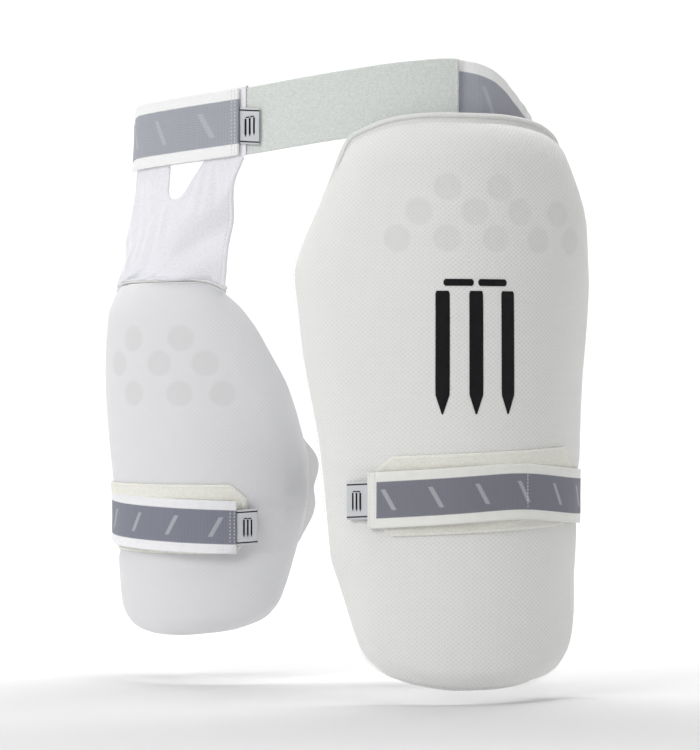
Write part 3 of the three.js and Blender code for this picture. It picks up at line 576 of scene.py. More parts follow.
# %% The strap's path
def strap_path(pad, strap):
    side = 1 if strap["free"] > 0 else -1
    height = pad["height"]
    middle_down = strap["height"] * height
    share = np.array(strap["height"])
    lean = height * (eased(pad["sections"], 1, share) - eased(pad["sections"], 2, share))
    centre = np.array([pad["x"], pad["y"]]) + heading_vector(pad["facing"]) * lean

    def plan(s, down, lift):
        return surface(pad, s, down, lift)[..., :2] / MM - centre

    def support(down):
        share = down / height
        right = -height * np.interp(share, *np.array(pad["outline"])[:, [0, 1]].T)
        left = height * np.interp(share, *np.array(pad["outline"])[:, [0, 2]].T)
        far, near = (left, right) if side < 0 else (right, left)
        near += side * strap["wing"]
        ends = strap["patch_from"] + 0.1, strap["patch_to"] - 0.1
        places = np.sort(np.r_[np.linspace(far, near, 41), ends])[::side]
        inset = np.where(places < 0, places - right, left - places)
        foam = inset > 0
        patch = np.where((places > strap["patch_from"]) & (places < strap["patch_to"]), PATCH_GAP + LOOP_CLOTH, 0)
        over = plan(places, down, LINING + foam_lift(pad, inset, down) + patch)[foam]
        leg = plan(places, down, 0)
        far_heading, near_heading = heading_of(leg[0]), heading_of(leg[-1])
        low = min(np.linalg.norm(leg[0]), np.linalg.norm(leg[-1]))
        span = 360 - side * (near_heading - far_heading)
        back = heading_vector(far_heading - side * span * np.arange(1, 40) / 40) * low
        leg = np.concatenate([leg, back])
        return hull(np.concatenate([over, leg])), hull(leg), far_heading, near_heading

    free_heading = heading_of(plan(strap["free"], middle_down, pad["foam"]))
    sewn_heading = heading_of(plan(strap["sewn"], middle_down, 0))
    total = 360 - side * (sewn_heading - free_heading)
    turns = np.linspace(0, total, 200)
    drops = np.interp(turns, *np.array(strap["drops"]).T) * STRAP_WIDTH
    levels = {}
    reaches = []
    for turn, drop in zip(turns, drops):
        heading = free_heading - side * turn
        over, under, weight = 0, 1e9, 0
        for shift in (-1, 0, 1):
            key = round(middle_down + drop + shift * STRAP_WIDTH / 2)
            if key not in levels:
                levels[key] = support(key)
            outer, leg, far_heading, near_heading = levels[key]
            over = max(over, reach_of(outer, heading))
            under = min(under, reach_of(leg, heading))
            far_turn = side * (free_heading - far_heading)
            near_turn = 360 - side * (near_heading - free_heading)
            weight = max(weight, float(smooth_step((turn - far_turn - 15) / (near_turn - far_turn - 75))))
        past_tape = float(smooth_step((turn - strap["hook"] / 2.1) / 12))
        above = over + PATCH_GAP + (HOOK_TAPE + GAP) * (1 - past_tape) + 0.3 - pad["press"][1]
        below = under - TUCK_GAP - ELASTIC
        inward = strap["tuck"] * math.exp(-(((turn - 292) / 26) ** 2))
        reaches.append(above + (below - above) * weight - inward)
    soft = softened(reaches, 4)
    drop_soft = softened(drops, 9)

    def point(turn, lift, rise):
        turn, lift, rise = np.broadcast_arrays(*(np.asarray(v, float) for v in (turn, lift, rise)))
        reach = np.interp(turn, turns, soft) + lift
        flat = centre + heading_vector(free_heading - side * turn) * reach[..., None]
        z = pad["top"] - middle_down - np.interp(turn, turns, drop_soft) + rise
        return np.concatenate([flat, z[..., None]], -1) * MM

    return point, total, math.radians(1) * soft[0]


# %% Bands of elastic
def band(name, point, start, stop, steps, width, low, high, stands_for, slot, per_turn, sag=0.0, columns=21, bow=0.0):
    """A flat strip with soft edges: its two faces meet in a round selvedge."""
    turn = np.linspace(start, stop, steps)[:, None]
    across = np.sin(np.linspace(-1, 1, columns) * np.pi / 2)[None, :] * width / 2
    edge = np.sqrt(1 - np.clip(1 - (width / 2 - np.abs(across)) / 1.1, 0, 1) ** 2)
    middle, half = (low + high) / 2, (high - low) / 2
    wave = sag * np.sin(turn * 0.9 + across * 0.11) * np.abs(across) / width
    low_edge = np.clip(-2 * across / width, 0, 1) ** 4
    wave = wave + bow * low_edge * smooth_step((turn - start) / 14) * smooth_step((95 - turn) / 30)
    front = point(turn, middle + half * (0.25 + 0.75 * edge) + wave, across)
    back = point(turn, middle - half * (0.25 + 0.75 * edge) + wave, across)
    points, faces = two_faced(front, back)
    run = np.broadcast_to(turn * per_turn, (steps, columns))
    uv = np.stack([run, np.broadcast_to(across, run.shape)], -1) * MM
    return piece(name, points, faces, np.concatenate([uv.reshape(-1, 2)] * 2), stands_for, slot)


def make_strap(prefix, pad, strap, nodes):
    point, total, per_turn = strap_path(pad, strap)
    shape = 0, total, 420, STRAP_WIDTH, 0, ELASTIC
    worn = [f"{nodes}_strap"], "woven_elastic", per_turn, 0.5
    strap_obj = band(f"{prefix}_leg_strap", point, *shape, *worn, bow=strap["bow"])
    shape = 0.6, strap["hook"] / per_turn, 60, STRAP_WIDTH - 5, -GAP - HOOK_TAPE, -GAP
    tape = band(f"{prefix}_hook_tape", point, *shape, [f"{nodes}_strap_hook_tape"], "hook_tape", per_turn)
    print(prefix, "leg strap goes round", round(total), "degrees at", round(per_turn, 2), "mm a degree")
    return strap_obj, tape, point, per_turn


outer_strap, outer_tape, outer_path, outer_turn = make_strap("outer", OUTER, OUTER_STRAP, "thigh")
inner_strap, inner_tape, inner_path, inner_turn = make_strap("inner", INNER, INNER_STRAP, "inner")

# %% [markdown]
# ## The waist belt
#
# The belt is a loop-cloth panel at the front and a wide elastic round the back.
# It rises and dips as it hangs on the waist.
# The elastic starts behind the panel's left end, and closes over the panel with a hook tape near the wearer's middle.
# %% Belt pieces
BELT_WIDTH = 50
WAIST = [163, 100]
BELT_RISE = [
    (-180, 0.82), (-165, 0.85), (-150, 0.78), (-135, 0.63), (-120, 0.53), (-90, 0.3), (-71, 0.19), (-58, 0.18),
    (-30, 0.19), (-6, 0.26), (20, 0.43), (40, 0.56), (56, 0.6), (70, 0.46), (85, 0.07), (108, -0.2), (125, 0),
    (150, 0.5), (165, 0.72), (180, 0.82),
]


def belt_point(heading, out, rise):
    heading, out, rise = np.broadcast_arrays(*(np.asarray(v, float) for v in (heading, out, rise)))
    ray = heading_vector(heading)
    turned = np.where(heading > 180, heading - 360, heading)
    z = BELT_WIDTH * eased(BELT_RISE, 1, turned) + rise
    flat = ray * WAIST
    normal = ray / WAIST
    normal = normal / np.linalg.norm(normal, axis=-1)[..., None]
    return np.concatenate([flat + normal * out[..., None], z[..., None]], -1) * MM


def elastic_point(heading, out, rise):
    heading = np.asarray(heading, float)
    layer = -2.15 * (1 - smooth_step((heading - 57) / 9)) + 4.95 * smooth_step((heading - 263) / 26)
    turn_over = np.exp(-(((heading - 293) / 6.5) ** 2)) * (0.5 + rise / BELT_WIDTH)
    return belt_point(heading, layer + out - 3 * turn_over, rise - 8 * turn_over)


BELT_TURN = 2.3

# %% The belt's three pieces
belt_panel = band(
    "belt_panel", belt_point, -67, 56, 240, BELT_WIDTH, -1.1, 1.1, ["belt_loop_panel"], "belt_pile", BELT_TURN, 0.2, 31
)
belt_elastic = band(
    "waist_elastic", elastic_point, 49, 352.4, 480, BELT_WIDTH, -0.75, 0.75, ["belt_elastic"], "woven_elastic",
    BELT_TURN, 0.5, 31,
)
belt_tape = band(
    "waist_hook_tape", belt_point, -35, -10, 60, BELT_WIDTH - 6, 2.7, 3.9, ["belt_hook_tape"], "hook_tape", BELT_TURN
)
print("belt pieces:", belt_panel.name, belt_elastic.name, belt_tape.name)

# %% [markdown]
# ## Small white tabs
#
# Each free end carries a folded tab to pull it by. It is two layers of satin tape, so it is thicker at the fold,
# and it stands off a little because it is held by one edge only.
# %% Label tabs
def make_tab(name, point, start, stop, height, base, stands_for, tilt, curl):
    u = np.linspace(0, 1, 28)[:, None]
    v = np.linspace(-1, 1, 34)[None, :]
    turn = start + (stop - start) * u
    rise = v * height / 2 + tilt * (u - 0.3)
    lift = base + curl * u**2 + 0.12 * np.sin(3 * v + 2 * u)
    thick = 0.62 - 0.3 * np.clip((np.maximum(u, np.abs(v)) - 0.94) / 0.06, 0, 1) ** 2
    points, faces = two_faced(point(turn, lift + thick, rise), point(turn, lift, rise))
    uv = np.stack(np.broadcast_arrays(u * 16.4, v * height / 2), -1) * MM
    return piece(name, points, faces, np.concatenate([uv.reshape(-1, 2)] * 2), stands_for, "label_cloth")


def label_on_belt(heading, out, rise):
    return belt_point(heading, out, rise - 4)


TAB_FROM, TAB_TO, TAB_HEIGHT = -0.3, -17, 27
outer_ends = TAB_FROM / outer_turn, TAB_TO / outer_turn
inner_ends = TAB_FROM / inner_turn, TAB_TO / inner_turn
outer_label = make_tab("outer_label", outer_path, *outer_ends, TAB_HEIGHT, 0.1, ["thigh_strap_label"], -1.0, 0.5)
inner_label = make_tab("inner_label", inner_path, *inner_ends, TAB_HEIGHT, 0.1, ["inner_strap_label"], 0.8, 0.5)
belt_label = make_tab("waist_label", label_on_belt, -7.6, -1.6, TAB_HEIGHT, 3.0, ["belt_label"], -3.0, 0.5)
print("tabs are", TAB_FROM - TAB_TO, "by", TAB_HEIGHT, "mm")

# %% [markdown]
# ## The hanger
#
# The inner pad hangs from the belt on a piece of smooth white cloth. At its top the cloth splits into two prongs,
# and each prong is folded over the belt and sewn down behind it as a sleeve.
# At its foot it is sewn to the pad over a piping.
# %% Piping and hanger
SEAM_GAP, PIPING_WIDTH, PIPING_DEPTH = 0.0, 2.6, 6.6
FOOT_FROM, FOOT_TO = -78, 46
TOP_FROM, TOP_SPAN = -62, 55
HANGER_WIDTH, HANGER_WAY = 118, 100


def top_seam(s):
    """How far down the inner pad's top edge lies at s, in millimetres."""
    ring = outline(INNER, 1440)
    top = ring[:, 1].argmin()
    left = np.roll(ring, -top, 0)[:500]
    right = np.roll(ring[::-1], top + 1, 0)[:500]
    left, right = left[left[:, 1] < 90], right[right[:, 1] < 90]
    if left[:, 0].mean() < right[:, 0].mean():
        left, right = right, left
    line = np.concatenate([right[::-1], left])
    return np.interp(s, np.maximum.accumulate(line[:, 0]), line[:, 1])


def seam_point(s, above, lift):
    lift = lift + 4.5 * smooth_step((-s - 42) / 34)
    down = top_seam(s) - above
    over = np.maximum(0, -down)
    return surface(INNER, s, np.maximum(down, 0), lift) + over[..., None] * np.array([0, 0, MM])


# %% Piping
def make_piping():
    s = np.linspace(FOOT_FROM, FOOT_TO, 160)
    angle = np.linspace(0, 2 * np.pi, 15)[:-1]
    ring = []
    for a in angle:
        above = SEAM_GAP + PIPING_WIDTH / 2 + PIPING_WIDTH / 2 * np.cos(a)
        ring.append(seam_point(s, above, PIPING_DEPTH / 2 + PIPING_DEPTH / 2 * np.sin(a)))
    points = np.stack(ring, 1)
    count = len(angle)
    faces = grid_faces(len(s), count, wrap=True)
    faces.append(list(range(count))[::-1])
    faces.append([(len(s) - 1) * count + k for k in range(count)])
    uv = np.stack(np.broadcast_arrays(s[:, None], np.arange(count)[None, :] * 1.4), -1) * MM
    return piece("inner_piping", points, faces, uv, ["inner_pad_piping"], "white_cloth")


piping = make_piping()


# %% The hanger's grid and folds
def hanger_point(across, up):
    """A place on the hanger: up runs from 0 at the pad to 1 under the belt."""
    s = FOOT_FROM + (FOOT_TO - FOOT_FROM) * across
    foot = seam_point(s, SEAM_GAP + PIPING_WIDTH + 0.2, 6.3)
    top = belt_point(TOP_FROM + TOP_SPAN * across, 1.9, -26.6)
    return foot + (top - foot) * up[..., None]


NOTCH_FOOT, NOTCH_MIDDLE = 0.735, 0.6


def hanger_grid(rows, half):
    """(across, up) of the hanger's two halves, which part at the notch between its prongs."""
    up = np.linspace(0, 1, rows)[:, None]
    open_by = np.clip((up - NOTCH_FOOT) / (1 - NOTCH_FOOT), 0, 1)
    bend = np.sqrt(1 - (1 - np.clip(open_by * 3, 0, 1)) ** 2)
    left_edge = NOTCH_MIDDLE - (0.08 * bend + 0.03 * open_by)
    right_edge = NOTCH_MIDDLE + (0.03 * bend + 0.13 * open_by)
    u = np.linspace(0, 1, half)[None, :]
    across = np.concatenate([left_edge * u, right_edge + (1 - right_edge) * u], 1)
    return across, np.broadcast_to(up, across.shape)


def with_folds(across, ups, amount):
    points = hanger_point(across, ups)
    wide = hanger_point(across + 0.01, ups) - hanger_point(across - 0.01, ups)
    normal = np.stack([wide[..., 1], -wide[..., 0], np.zeros_like(ups)], -1)
    normal /= np.linalg.norm(normal, axis=-1)[..., None]
    hold = np.sin(np.pi * np.clip(ups, 0, 1)) ** 0.8
    slant = across * 1.1 - ups * 1.15
    folds = 4.8 * np.sin(slant * 8.8 + 0.9) + 2.0 * np.sin(slant * 16 + ups * 3 + 1.1)
    folds = folds + 0.5 * np.sin(across * 19 + ups * 7)
    inward = -3.0 * np.exp(-(((across - 0.5) / 0.3) ** 2))
    return points + normal * ((folds + inward) * hold * amount * MM)[..., None]


# %% Hanging it
def hanger_movement():
    """Where the hanger's cloth goes when it is a little longer than the way from pad to belt."""
    rows, half = 52, 26
    across, ups = hanger_grid(rows, half)
    points = with_folds(across, ups, 0.7)
    index = np.arange(rows * 2 * half).reshape(rows, 2 * half)
    joined = ups[:, 0] <= NOTCH_FOOT
    index[joined, half] = index[joined, half - 1]
    used, compact = np.unique(index, return_inverse=True)
    compact = compact.reshape(index.shape)
    faces = []
    for r in range(rows - 1):
        for c in range(2 * half - 1):
            if c != half - 1:
                low, high = compact[r], compact[r + 1]
                faces.append([int(low[c]), int(low[c + 1]), int(high[c + 1]), int(high[c])])
    start = points.reshape(-1, 3)[used]
    pinned = (ups.reshape(-1)[used] < 0.005) | (ups.reshape(-1)[used] > 0.995)
    moved = simulate(start, faces, pinned, 26, gravity=1.0, grow=0.022, stiffness=10, bending=0.6)
    moved = capped(moved, 0.006)[compact]
    side = points[:, -1] - points[:, 0]
    side /= np.linalg.norm(side, axis=1)[:, None]
    return moved - side[:, None, :] * (moved * side[:, None, :]).sum(-1, keepdims=True), half


SLEEVE = [(1.9, -24), (2.0, -12), (2.0, 0), (2.0, 14), (1.95, 23.6), (1.6, 25.3), (0.7, 26.1)]
SLEEVE += [(-0.7, 26.1), (-1.6, 25.3), (-1.95, 23.6), (-2.0, 12), (-2.0, 0), (-2.0, -14), (-2.0, -22)]


# %% The hanger and its sleeves
def make_hanger():
    rows, half = 150, 70
    across, ups = hanger_grid(rows, half)
    points = with_folds(across, ups, 1.0)
    moved, coarse_half = hanger_movement()
    halves = [finer(part, rows, half) for part in (moved[:, :coarse_half], moved[:, coarse_half:])]
    points = with_folds(across, ups, 0.7) + np.concatenate(halves, 1)
    faces = []
    columns = across.shape[1]
    for r in range(rows - 1):
        for c in range(columns - 1):
            if c == half - 1:
                continue
            faces.append([r * columns + c, r * columns + c + 1, (r + 1) * columns + c + 1, (r + 1) * columns + c])
    flat = np.stack([across * HANGER_WIDTH, ups * HANGER_WAY], -1) * MM
    loops = []
    for first, last, prong in ((0, half, 0), (half, columns, 1)):
        top = across[-1, first:last]
        headings = TOP_FROM + TOP_SPAN * top + prong * np.clip((top - 0.9) / 0.1, 0, 1)
        loops.append((first, last, [belt_point(headings, out, rise) for out, rise in SLEEVE]))
    everything = [points.reshape(-1, 3)]
    uvs = [flat.reshape(-1, 2)]
    offset = rows * columns
    for first, last, rings in loops:
        below = [(rows - 1) * columns + c for c in range(first, last)]
        for k, ring in enumerate(rings):
            here = [offset + i for i in range(last - first)]
            everything.append(ring)
            run = np.full(last - first, HANGER_WAY + 8.0 * k)
            uvs.append(np.stack([across[-1, first:last] * HANGER_WIDTH, run], -1) * MM)
            for i in range(last - first - 1):
                faces.append([below[i], below[i + 1], here[i + 1], here[i]])
            below = here
            offset += last - first
    obj = piece("hanger", np.concatenate(everything), faces, np.concatenate(uvs))
    work = bmesh.new()
    work.from_mesh(obj.data)
    bmesh.ops.remove_doubles(work, verts=work.verts, dist=2e-5)
    bmesh.ops.recalc_face_normals(work, faces=work.faces)
    work.to_mesh(obj.data)
    work.free()
    shell = obj.modifiers.new("thickness", "SOLIDIFY")
    shell.thickness = 0.0009
    shell.offset = 0
    baked = bpy.data.meshes.new_from_object(obj.evaluated_get(bpy.context.evaluated_depsgraph_get()))
    obj.modifiers.clear()
    obj.data = baked
    obj.data.shade_smooth()
    obj.data.set_sharp_from_angle(angle=math.radians(50))
    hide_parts("hanger_flap", "hanger_sleeve_left", "hanger_sleeve_right")
    return obj, points


hanger, hanger_points = make_hanger()
area = sum(p.area for p in hanger.data.polygons) / 2
print("hanger cloth area in square metres:", round(area, 4))


# %% Hems
def rope(name, line, width, thick, slot):
    """A flat soft cord along a line of points: the folded edge of a hem."""
    along = np.gradient(line, axis=0)
    along /= np.linalg.norm(along, axis=1)[:, None]
    wide = np.cross(along, np.array(away))
    wide /= np.linalg.norm(wide, axis=1)[:, None]
    out = np.cross(wide, along)
    angle = np.linspace(0, 2 * np.pi, 13)[:-1]
    ring = [line + wide * (np.cos(a) * width / 2) + out * (np.sin(a) * thick / 2) for a in angle]
    points = np.stack(ring, 1)
    ends = [list(range(12))[::-1], [(len(line) - 1) * 12 + k for k in range(12)]]
    faces = grid_faces(len(line), 12, wrap=True) + ends
    run = np.r_[0, np.cumsum(np.linalg.norm(np.diff(line, axis=0), axis=1))]
    uv = np.stack(np.broadcast_arrays(run[:, None], np.arange(12)[None, :] * width / 6), -1)
    return piece(name, points, faces, uv, (), slot)


half_way = hanger_points.shape[1] // 2
parted = np.linspace(0, 1, len(hanger_points)) > NOTCH_FOOT
notch_line = np.concatenate([hanger_points[parted, half_way - 1][::-1], hanger_points[parted, half_way]])
hem_left = rope("hanger_hem_left", hanger_points[:, 1], 0.0028, 0.0019, "white_cloth")
hem_right = rope("hanger_hem_right", hanger_points[:, -2], 0.0034, 0.0022, "white_cloth")
hem_notch = rope("hanger_hem_notch", notch_line, 0.0020, 0.0015, "white_cloth")
hems = [hem_left, hem_right, hem_notch]
print("hems:", [hem.name for hem in hems])

# %% [markdown]
# ## Stitches
#
# A sewing machine leaves a row of short equal threads. Geometry Nodes walks along a curve, sets a point every stitch,
# and puts a small thread at each one, turned along the seam. The group is built once, and every row uses it.
# %% Stitch rows
def node(tree, kind, feeds=None, **settings):
    """Adds a node with its settings. Each feed is a plain value, or another node's socket to link from."""
    made = tree.nodes.new(kind)
    for key, value in settings.items():
        setattr(made, key, value)
    for key, value in (feeds or {}).items():
        socket = made.inputs[key]
        if isinstance(value, bpy.types.NodeSocket):
            tree.links.new(value, socket)
        else:
            socket.default_value = value
    return made


# %% The stitch tree
def stitch_group():
    group = bpy.data.node_groups.new("stitch_row", "GeometryNodeTree")
    sockets = {}
    group.interface.new_socket("Geometry", in_out="INPUT", socket_type="NodeSocketGeometry")
    for name, value in (("Pitch", 0.0032), ("Stitch Length", 0.0023), ("Thread Radius", 0.00028)):
        socket = group.interface.new_socket(name, in_out="INPUT", socket_type="NodeSocketFloat")
        socket.default_value = value
        sockets[name] = socket.identifier
    socket = group.interface.new_socket("Thread", in_out="INPUT", socket_type="NodeSocketMaterial")
    sockets["Thread"] = socket.identifier
    group.interface.new_socket("Geometry", in_out="OUTPUT", socket_type="NodeSocketGeometry")
    given = node(group, "NodeGroupInput")
    feeds = {"Curve": given.outputs["Geometry"], "Length": given.outputs["Pitch"]}
    walk = node(group, "GeometryNodeCurveToPoints", feeds, mode="LENGTH")
    thread = node(group, "GeometryNodeMeshUVSphere", {"Segments": 6, "Rings": 6, "Radius": 1.0})
    half = node(group, "ShaderNodeMath", {0: given.outputs["Stitch Length"], 1: 0.5}, operation="MULTIPLY")
    thick = given.outputs["Thread Radius"]
    size = node(group, "ShaderNodeCombineXYZ", {0: half.outputs[0], 1: thick, 2: thick})
    turn = node(group, "FunctionNodeAlignRotationToVector", {"Vector": walk.outputs["Tangent"]}, axis="X")
    feeds = {"Points": walk.outputs["Points"], "Instance": thread.outputs["Mesh"]}
    feeds.update({"Rotation": turn.outputs[0], "Scale": size.outputs[0]})
    rows = node(group, "GeometryNodeInstanceOnPoints", feeds)
    real = node(group, "GeometryNodeRealizeInstances", {"Geometry": rows.outputs["Instances"]})
    skin = node(group, "GeometryNodeSetMaterial", {"Geometry": real.outputs[0], "Material": given.outputs["Thread"]})
    node(group, "NodeGroupOutput", {"Geometry": skin.outputs[0]})
    return group, sockets


STITCHES, STITCH_SOCKETS = stitch_group()
THREAD = bpy.data.materials.new("white polyester sewing thread")


# %% Sewing with it
def stitches(name, rows, pitch=0.0032, length=0.0024, radius=0.00028):
    """Sewn rows along lines of points in metres."""
    curve = bpy.data.curves.new(name, "CURVE")
    curve.dimensions = "3D"
    for row in rows:
        spline = curve.splines.new("POLY")
        spline.points.add(len(row) - 1)
        spline.points.foreach_set("co", np.c_[row, np.ones(len(row))].ravel())
    guide = bpy.data.objects.new(name + "_guide", curve)
    bpy.context.scene.collection.objects.link(guide)
    sew = guide.modifiers.new("sew", "NODES")
    sew.node_group = STITCHES
    for key, value in (("Pitch", pitch), ("Stitch Length", length), ("Thread Radius", radius), ("Thread", THREAD)):
        sew[STITCH_SOCKETS[key]] = value
    shown = guide.evaluated_get(bpy.context.evaluated_depsgraph_get())
    mesh = bpy.data.meshes.new_from_object(shown)
    mesh.name = name
    mesh.shade_smooth()
    obj = bpy.data.objects.new(name, mesh)
    bpy.context.scene.collection.objects.link(obj)
    bpy.data.objects.remove(guide)
    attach(obj, "root")
    return obj


def ring_on_pad(pad, inset, above, count=900):
    ring = outline(pad, count, inset)
    lift = LINING + foam_lift(pad, np.full(count, float(inset)), ring[:, 1]) + above
    line = surface(pad, ring[:, 0], ring[:, 1], lift)
    return np.concatenate([line, line[:1]])


def patch_line(pad, strap, inset):
    left, right = strap["patch_from"] + inset, strap["patch_to"] - inset
    half, corner = strap["patch_width"] / 2 - inset, PATCH_CORNER * 0.85
    loop = [(left, -half + corner), (left + corner, -half), (right - corner, -half), (right, -half + corner)]
    loop += [(right, half - corner), (right - corner, half), (left + corner, half), (left, half - corner)]
    ring = even_ring(np.array(loop, float), 400)
    s, down = ring[:, 0], ring[:, 1] + strap["patch_middle"] * pad["height"] - 1.0 - strap["tilt"] * ring[:, 0]
    line = surface(pad, s, down, pad_top(pad, s, down) + PATCH_GAP + LOOP_CLOTH - 0.05)
    return np.concatenate([line, line[:1]])


def across_line(point, turn, width, lift):
    return point(np.full(40, float(turn)), lift, np.linspace(-width / 2, width / 2, 40))


# %% Pile fibres
def fibre_group():
    group = bpy.data.node_groups.new("pile_fibres", "GeometryNodeTree")
    sockets = {}
    group.interface.new_socket("Geometry", in_out="INPUT", socket_type="NodeSocketGeometry")
    for name, value in (("Density", 900000.0), ("Fibre Length", 0.0011), ("Fibre Radius", 0.00009)):
        socket = group.interface.new_socket(name, in_out="INPUT", socket_type="NodeSocketFloat")
        socket.default_value = value
        sockets[name] = socket.identifier
    for name, kind in (("Seed", "NodeSocketInt"), ("Fibre", "NodeSocketMaterial")):
        sockets[name] = group.interface.new_socket(name, in_out="INPUT", socket_type=kind).identifier
    group.interface.new_socket("Geometry", in_out="OUTPUT", socket_type="NodeSocketGeometry")
    given = node(group, "NodeGroupInput")
    feeds = {"Mesh": given.outputs["Geometry"], "Density": given.outputs["Density"], "Seed": given.outputs["Seed"]}
    spots = node(group, "GeometryNodeDistributePointsOnFaces", feeds)
    thick, long = given.outputs["Fibre Radius"], given.outputs["Fibre Length"]
    feeds = {"Vertices": 3, "Radius Top": thick, "Radius Bottom": thick, "Depth": long}
    fibre = node(group, "GeometryNodeMeshCone", feeds)
    feeds = {0: (-0.9, -0.9, -3.0), 1: (0.9, 0.9, 3.0), "Seed": given.outputs["Seed"]}
    lean = node(group, "FunctionNodeRandomValue", feeds, data_type="FLOAT_VECTOR")
    feeds = {0: spots.outputs["Rotation"], 1: lean.outputs[0]}
    turn = node(group, "FunctionNodeRotateRotation", feeds, rotation_space="LOCAL")
    feeds = {"Points": spots.outputs["Points"], "Instance": fibre.outputs["Mesh"], "Rotation": turn.outputs[0]}
    rows = node(group, "GeometryNodeInstanceOnPoints", feeds)
    real = node(group, "GeometryNodeRealizeInstances", {"Geometry": rows.outputs["Instances"]})
    skin = node(group, "GeometryNodeSetMaterial", {"Geometry": real.outputs[0], "Material": given.outputs["Fibre"]})
    node(group, "NodeGroupOutput", {"Geometry": skin.outputs[0]})
    return group, sockets


FIBRES, FIBRE_SOCKETS = fibre_group()
FIBRE = bpy.data.materials.new("crimped nylon pile fibre")


def fibres(name, patch, seed):
    """Loose fibre ends that stand up from a patch's face."""
    guide = patch.copy()
    guide.data = patch.data.copy()
    guide.name = name + "_guide"
    bpy.context.scene.collection.objects.link(guide)
    half = len(guide.data.vertices) // 2
    work = bmesh.new()
    work.from_mesh(guide.data)
    work.verts.ensure_lookup_table()
    bmesh.ops.delete(work, geom=[v for v in work.verts if v.index >= half], context="VERTS")
    work.to_mesh(guide.data)
    work.free()
    grow = guide.modifiers.new("grow", "NODES")
    grow.node_group = FIBRES
    sizes = {"Density": 900000.0, "Fibre Length": 0.0008, "Fibre Radius": 0.00006}
    for key, value in {**sizes, "Seed": seed, "Fibre": FIBRE}.items():
        grow[FIBRE_SOCKETS[key]] = value
    mesh = bpy.data.meshes.new_from_object(guide.evaluated_get(bpy.context.evaluated_depsgraph_get()))
    bpy.data.objects.remove(guide)
    mesh.name = name
    obj = bpy.data.objects.new(name, mesh)
    bpy.context.scene.collection.objects.link(obj)
    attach(obj, "root")
    print(name, "has", len(mesh.polygons), "faces")
    return obj


fibres("outer_patch_fibres", outer_patch, 11)
fibres("inner_patch_fibres", inner_patch, 12)


# %% All the rows
def on_strap(path, per_turn, places):
    return [across_line(path, place / per_turn, 37, ELASTIC + 0.05) for place in places]


towards_view = np.array(away)
hem_rows = [hanger_points[2:-2, column] + towards_view * 0.0008 for column in (-5, 4)]
sewn = [
    stitches("outer_binding_stitches", [ring_on_pad(OUTER, 2.0, 1.05)], 0.0034, 0.0026),
    stitches("outer_patch_stitches", [patch_line(OUTER, OUTER_STRAP, 2.2)]),
    stitches("inner_patch_stitches", [patch_line(INNER, INNER_STRAP, 2.2)]),
    stitches("outer_strap_stitches", on_strap(outer_path, outer_turn, (1.8, 5.5, 121)), 0.0024, 0.0021),
    stitches("inner_strap_stitches", on_strap(inner_path, inner_turn, (1.8, 5.0)), 0.0026, 0.002),
    stitches("belt_end_stitches", [across_line(elastic_point, h, 46, 0.8) for h in (351.4, 350.3)], 0.0026, 0.002),
    stitches("hanger_stitches", hem_rows, 0.003, 0.0022),
    stitches("inner_seam_stitches", [hanger_points[3, :] + towards_view * 0.0009], 0.003, 0.0022),
    stitches("belt_panel_stitches", [across_line(belt_point, h, 46, 1.15) for h in (55.3, 53.6)], 0.0028, 0.0022),
]
print("stitch rows:", len(sewn), "with", sum(len(o.data.polygons) for o in sewn), "faces")

# %% [markdown]
# ## A printed mark
#
# A set of stumps is printed on the outer pad: three upright stakes with two bails across their tops.
# Ink is thin, so the mark is a skin a quarter of a millimetre thick that follows the cover.
# %% Stumps mark
def ink_grid(profile, columns):
    """A flat shape given as (down from the middle, left, right) rows, as a grid."""
    rows = np.array(profile, float)
    t = np.linspace(0, 1, 8 * len(rows))
    at = np.interp(t, np.linspace(0, 1, len(rows)), rows[:, 0])
    left = np.interp(t, np.linspace(0, 1, len(rows)), rows[:, 1])
    right = np.interp(t, np.linspace(0, 1, len(rows)), rows[:, 2])
    u = np.linspace(0, 1, columns)[None, :]
    return left[:, None] + (right - left)[:, None] * u, np.repeat(at[:, None], columns, 1)


STUMP = [(-38, 3.6), (-36, 4.2), (36, 4.2), (50, 0.4)]
BAIL = [(-46.5, 8), (-45, 9), (-43, 9), (-41.5, 8)]
STUMPS = [[(down, x - half, x + half) for down, half in STUMP] for x in (-20, 0, 20)]
STUMPS += [[(down, x - half, x + half) for down, half in BAIL] for x in (-10.4, 10.4)]


def make_mark(name, place, size, columns=10):
    """The stumps as thin skins. place turns (right, down, lift) from the mark's middle into a point."""
    points, faces, uvs = [], [], []
    offset = 0
    for shape in STUMPS:
        across, down = ink_grid([(a * size, b * size, c * size) for a, b, c in shape], columns)
        body, own = two_faced(place(across, down, 0.3), place(across, down, 0.06))
        points.append(body)
        faces += [[offset + i for i in f] for f in own]
        uvs.append(np.concatenate([(np.stack([across, down], -1) * MM).reshape(-1, 2)] * 2))
        offset += len(body)
    return piece(name, np.concatenate(points), faces, np.concatenate(uvs), (), "label_cloth")


def on_outer_pad(across, down, lift):
    s, at = across - 5, down + 168
    return surface(OUTER, s, at, pad_top(OUTER, s, at) + lift)


def on_tab(point, per_turn, start, rise, base):
    def place(across, down, lift):
        return point(start + across / per_turn, base + lift, rise - down)

    return place


stumps = make_mark("stumps_print", on_outer_pad, 1.0)
tab_marks = [
    make_mark("outer_label_mark", on_tab(outer_path, outer_turn, -8.8 / outer_turn, -0.2, 0.9), 0.15, 4),
    make_mark("inner_label_mark", on_tab(inner_path, -inner_turn, -8.8 / inner_turn, 0.2, 0.9), 0.15, 4),
    make_mark("belt_label_mark", on_tab(belt_point, BELT_TURN, -4.4, -4.5, 3.8), 0.15, 4),
]

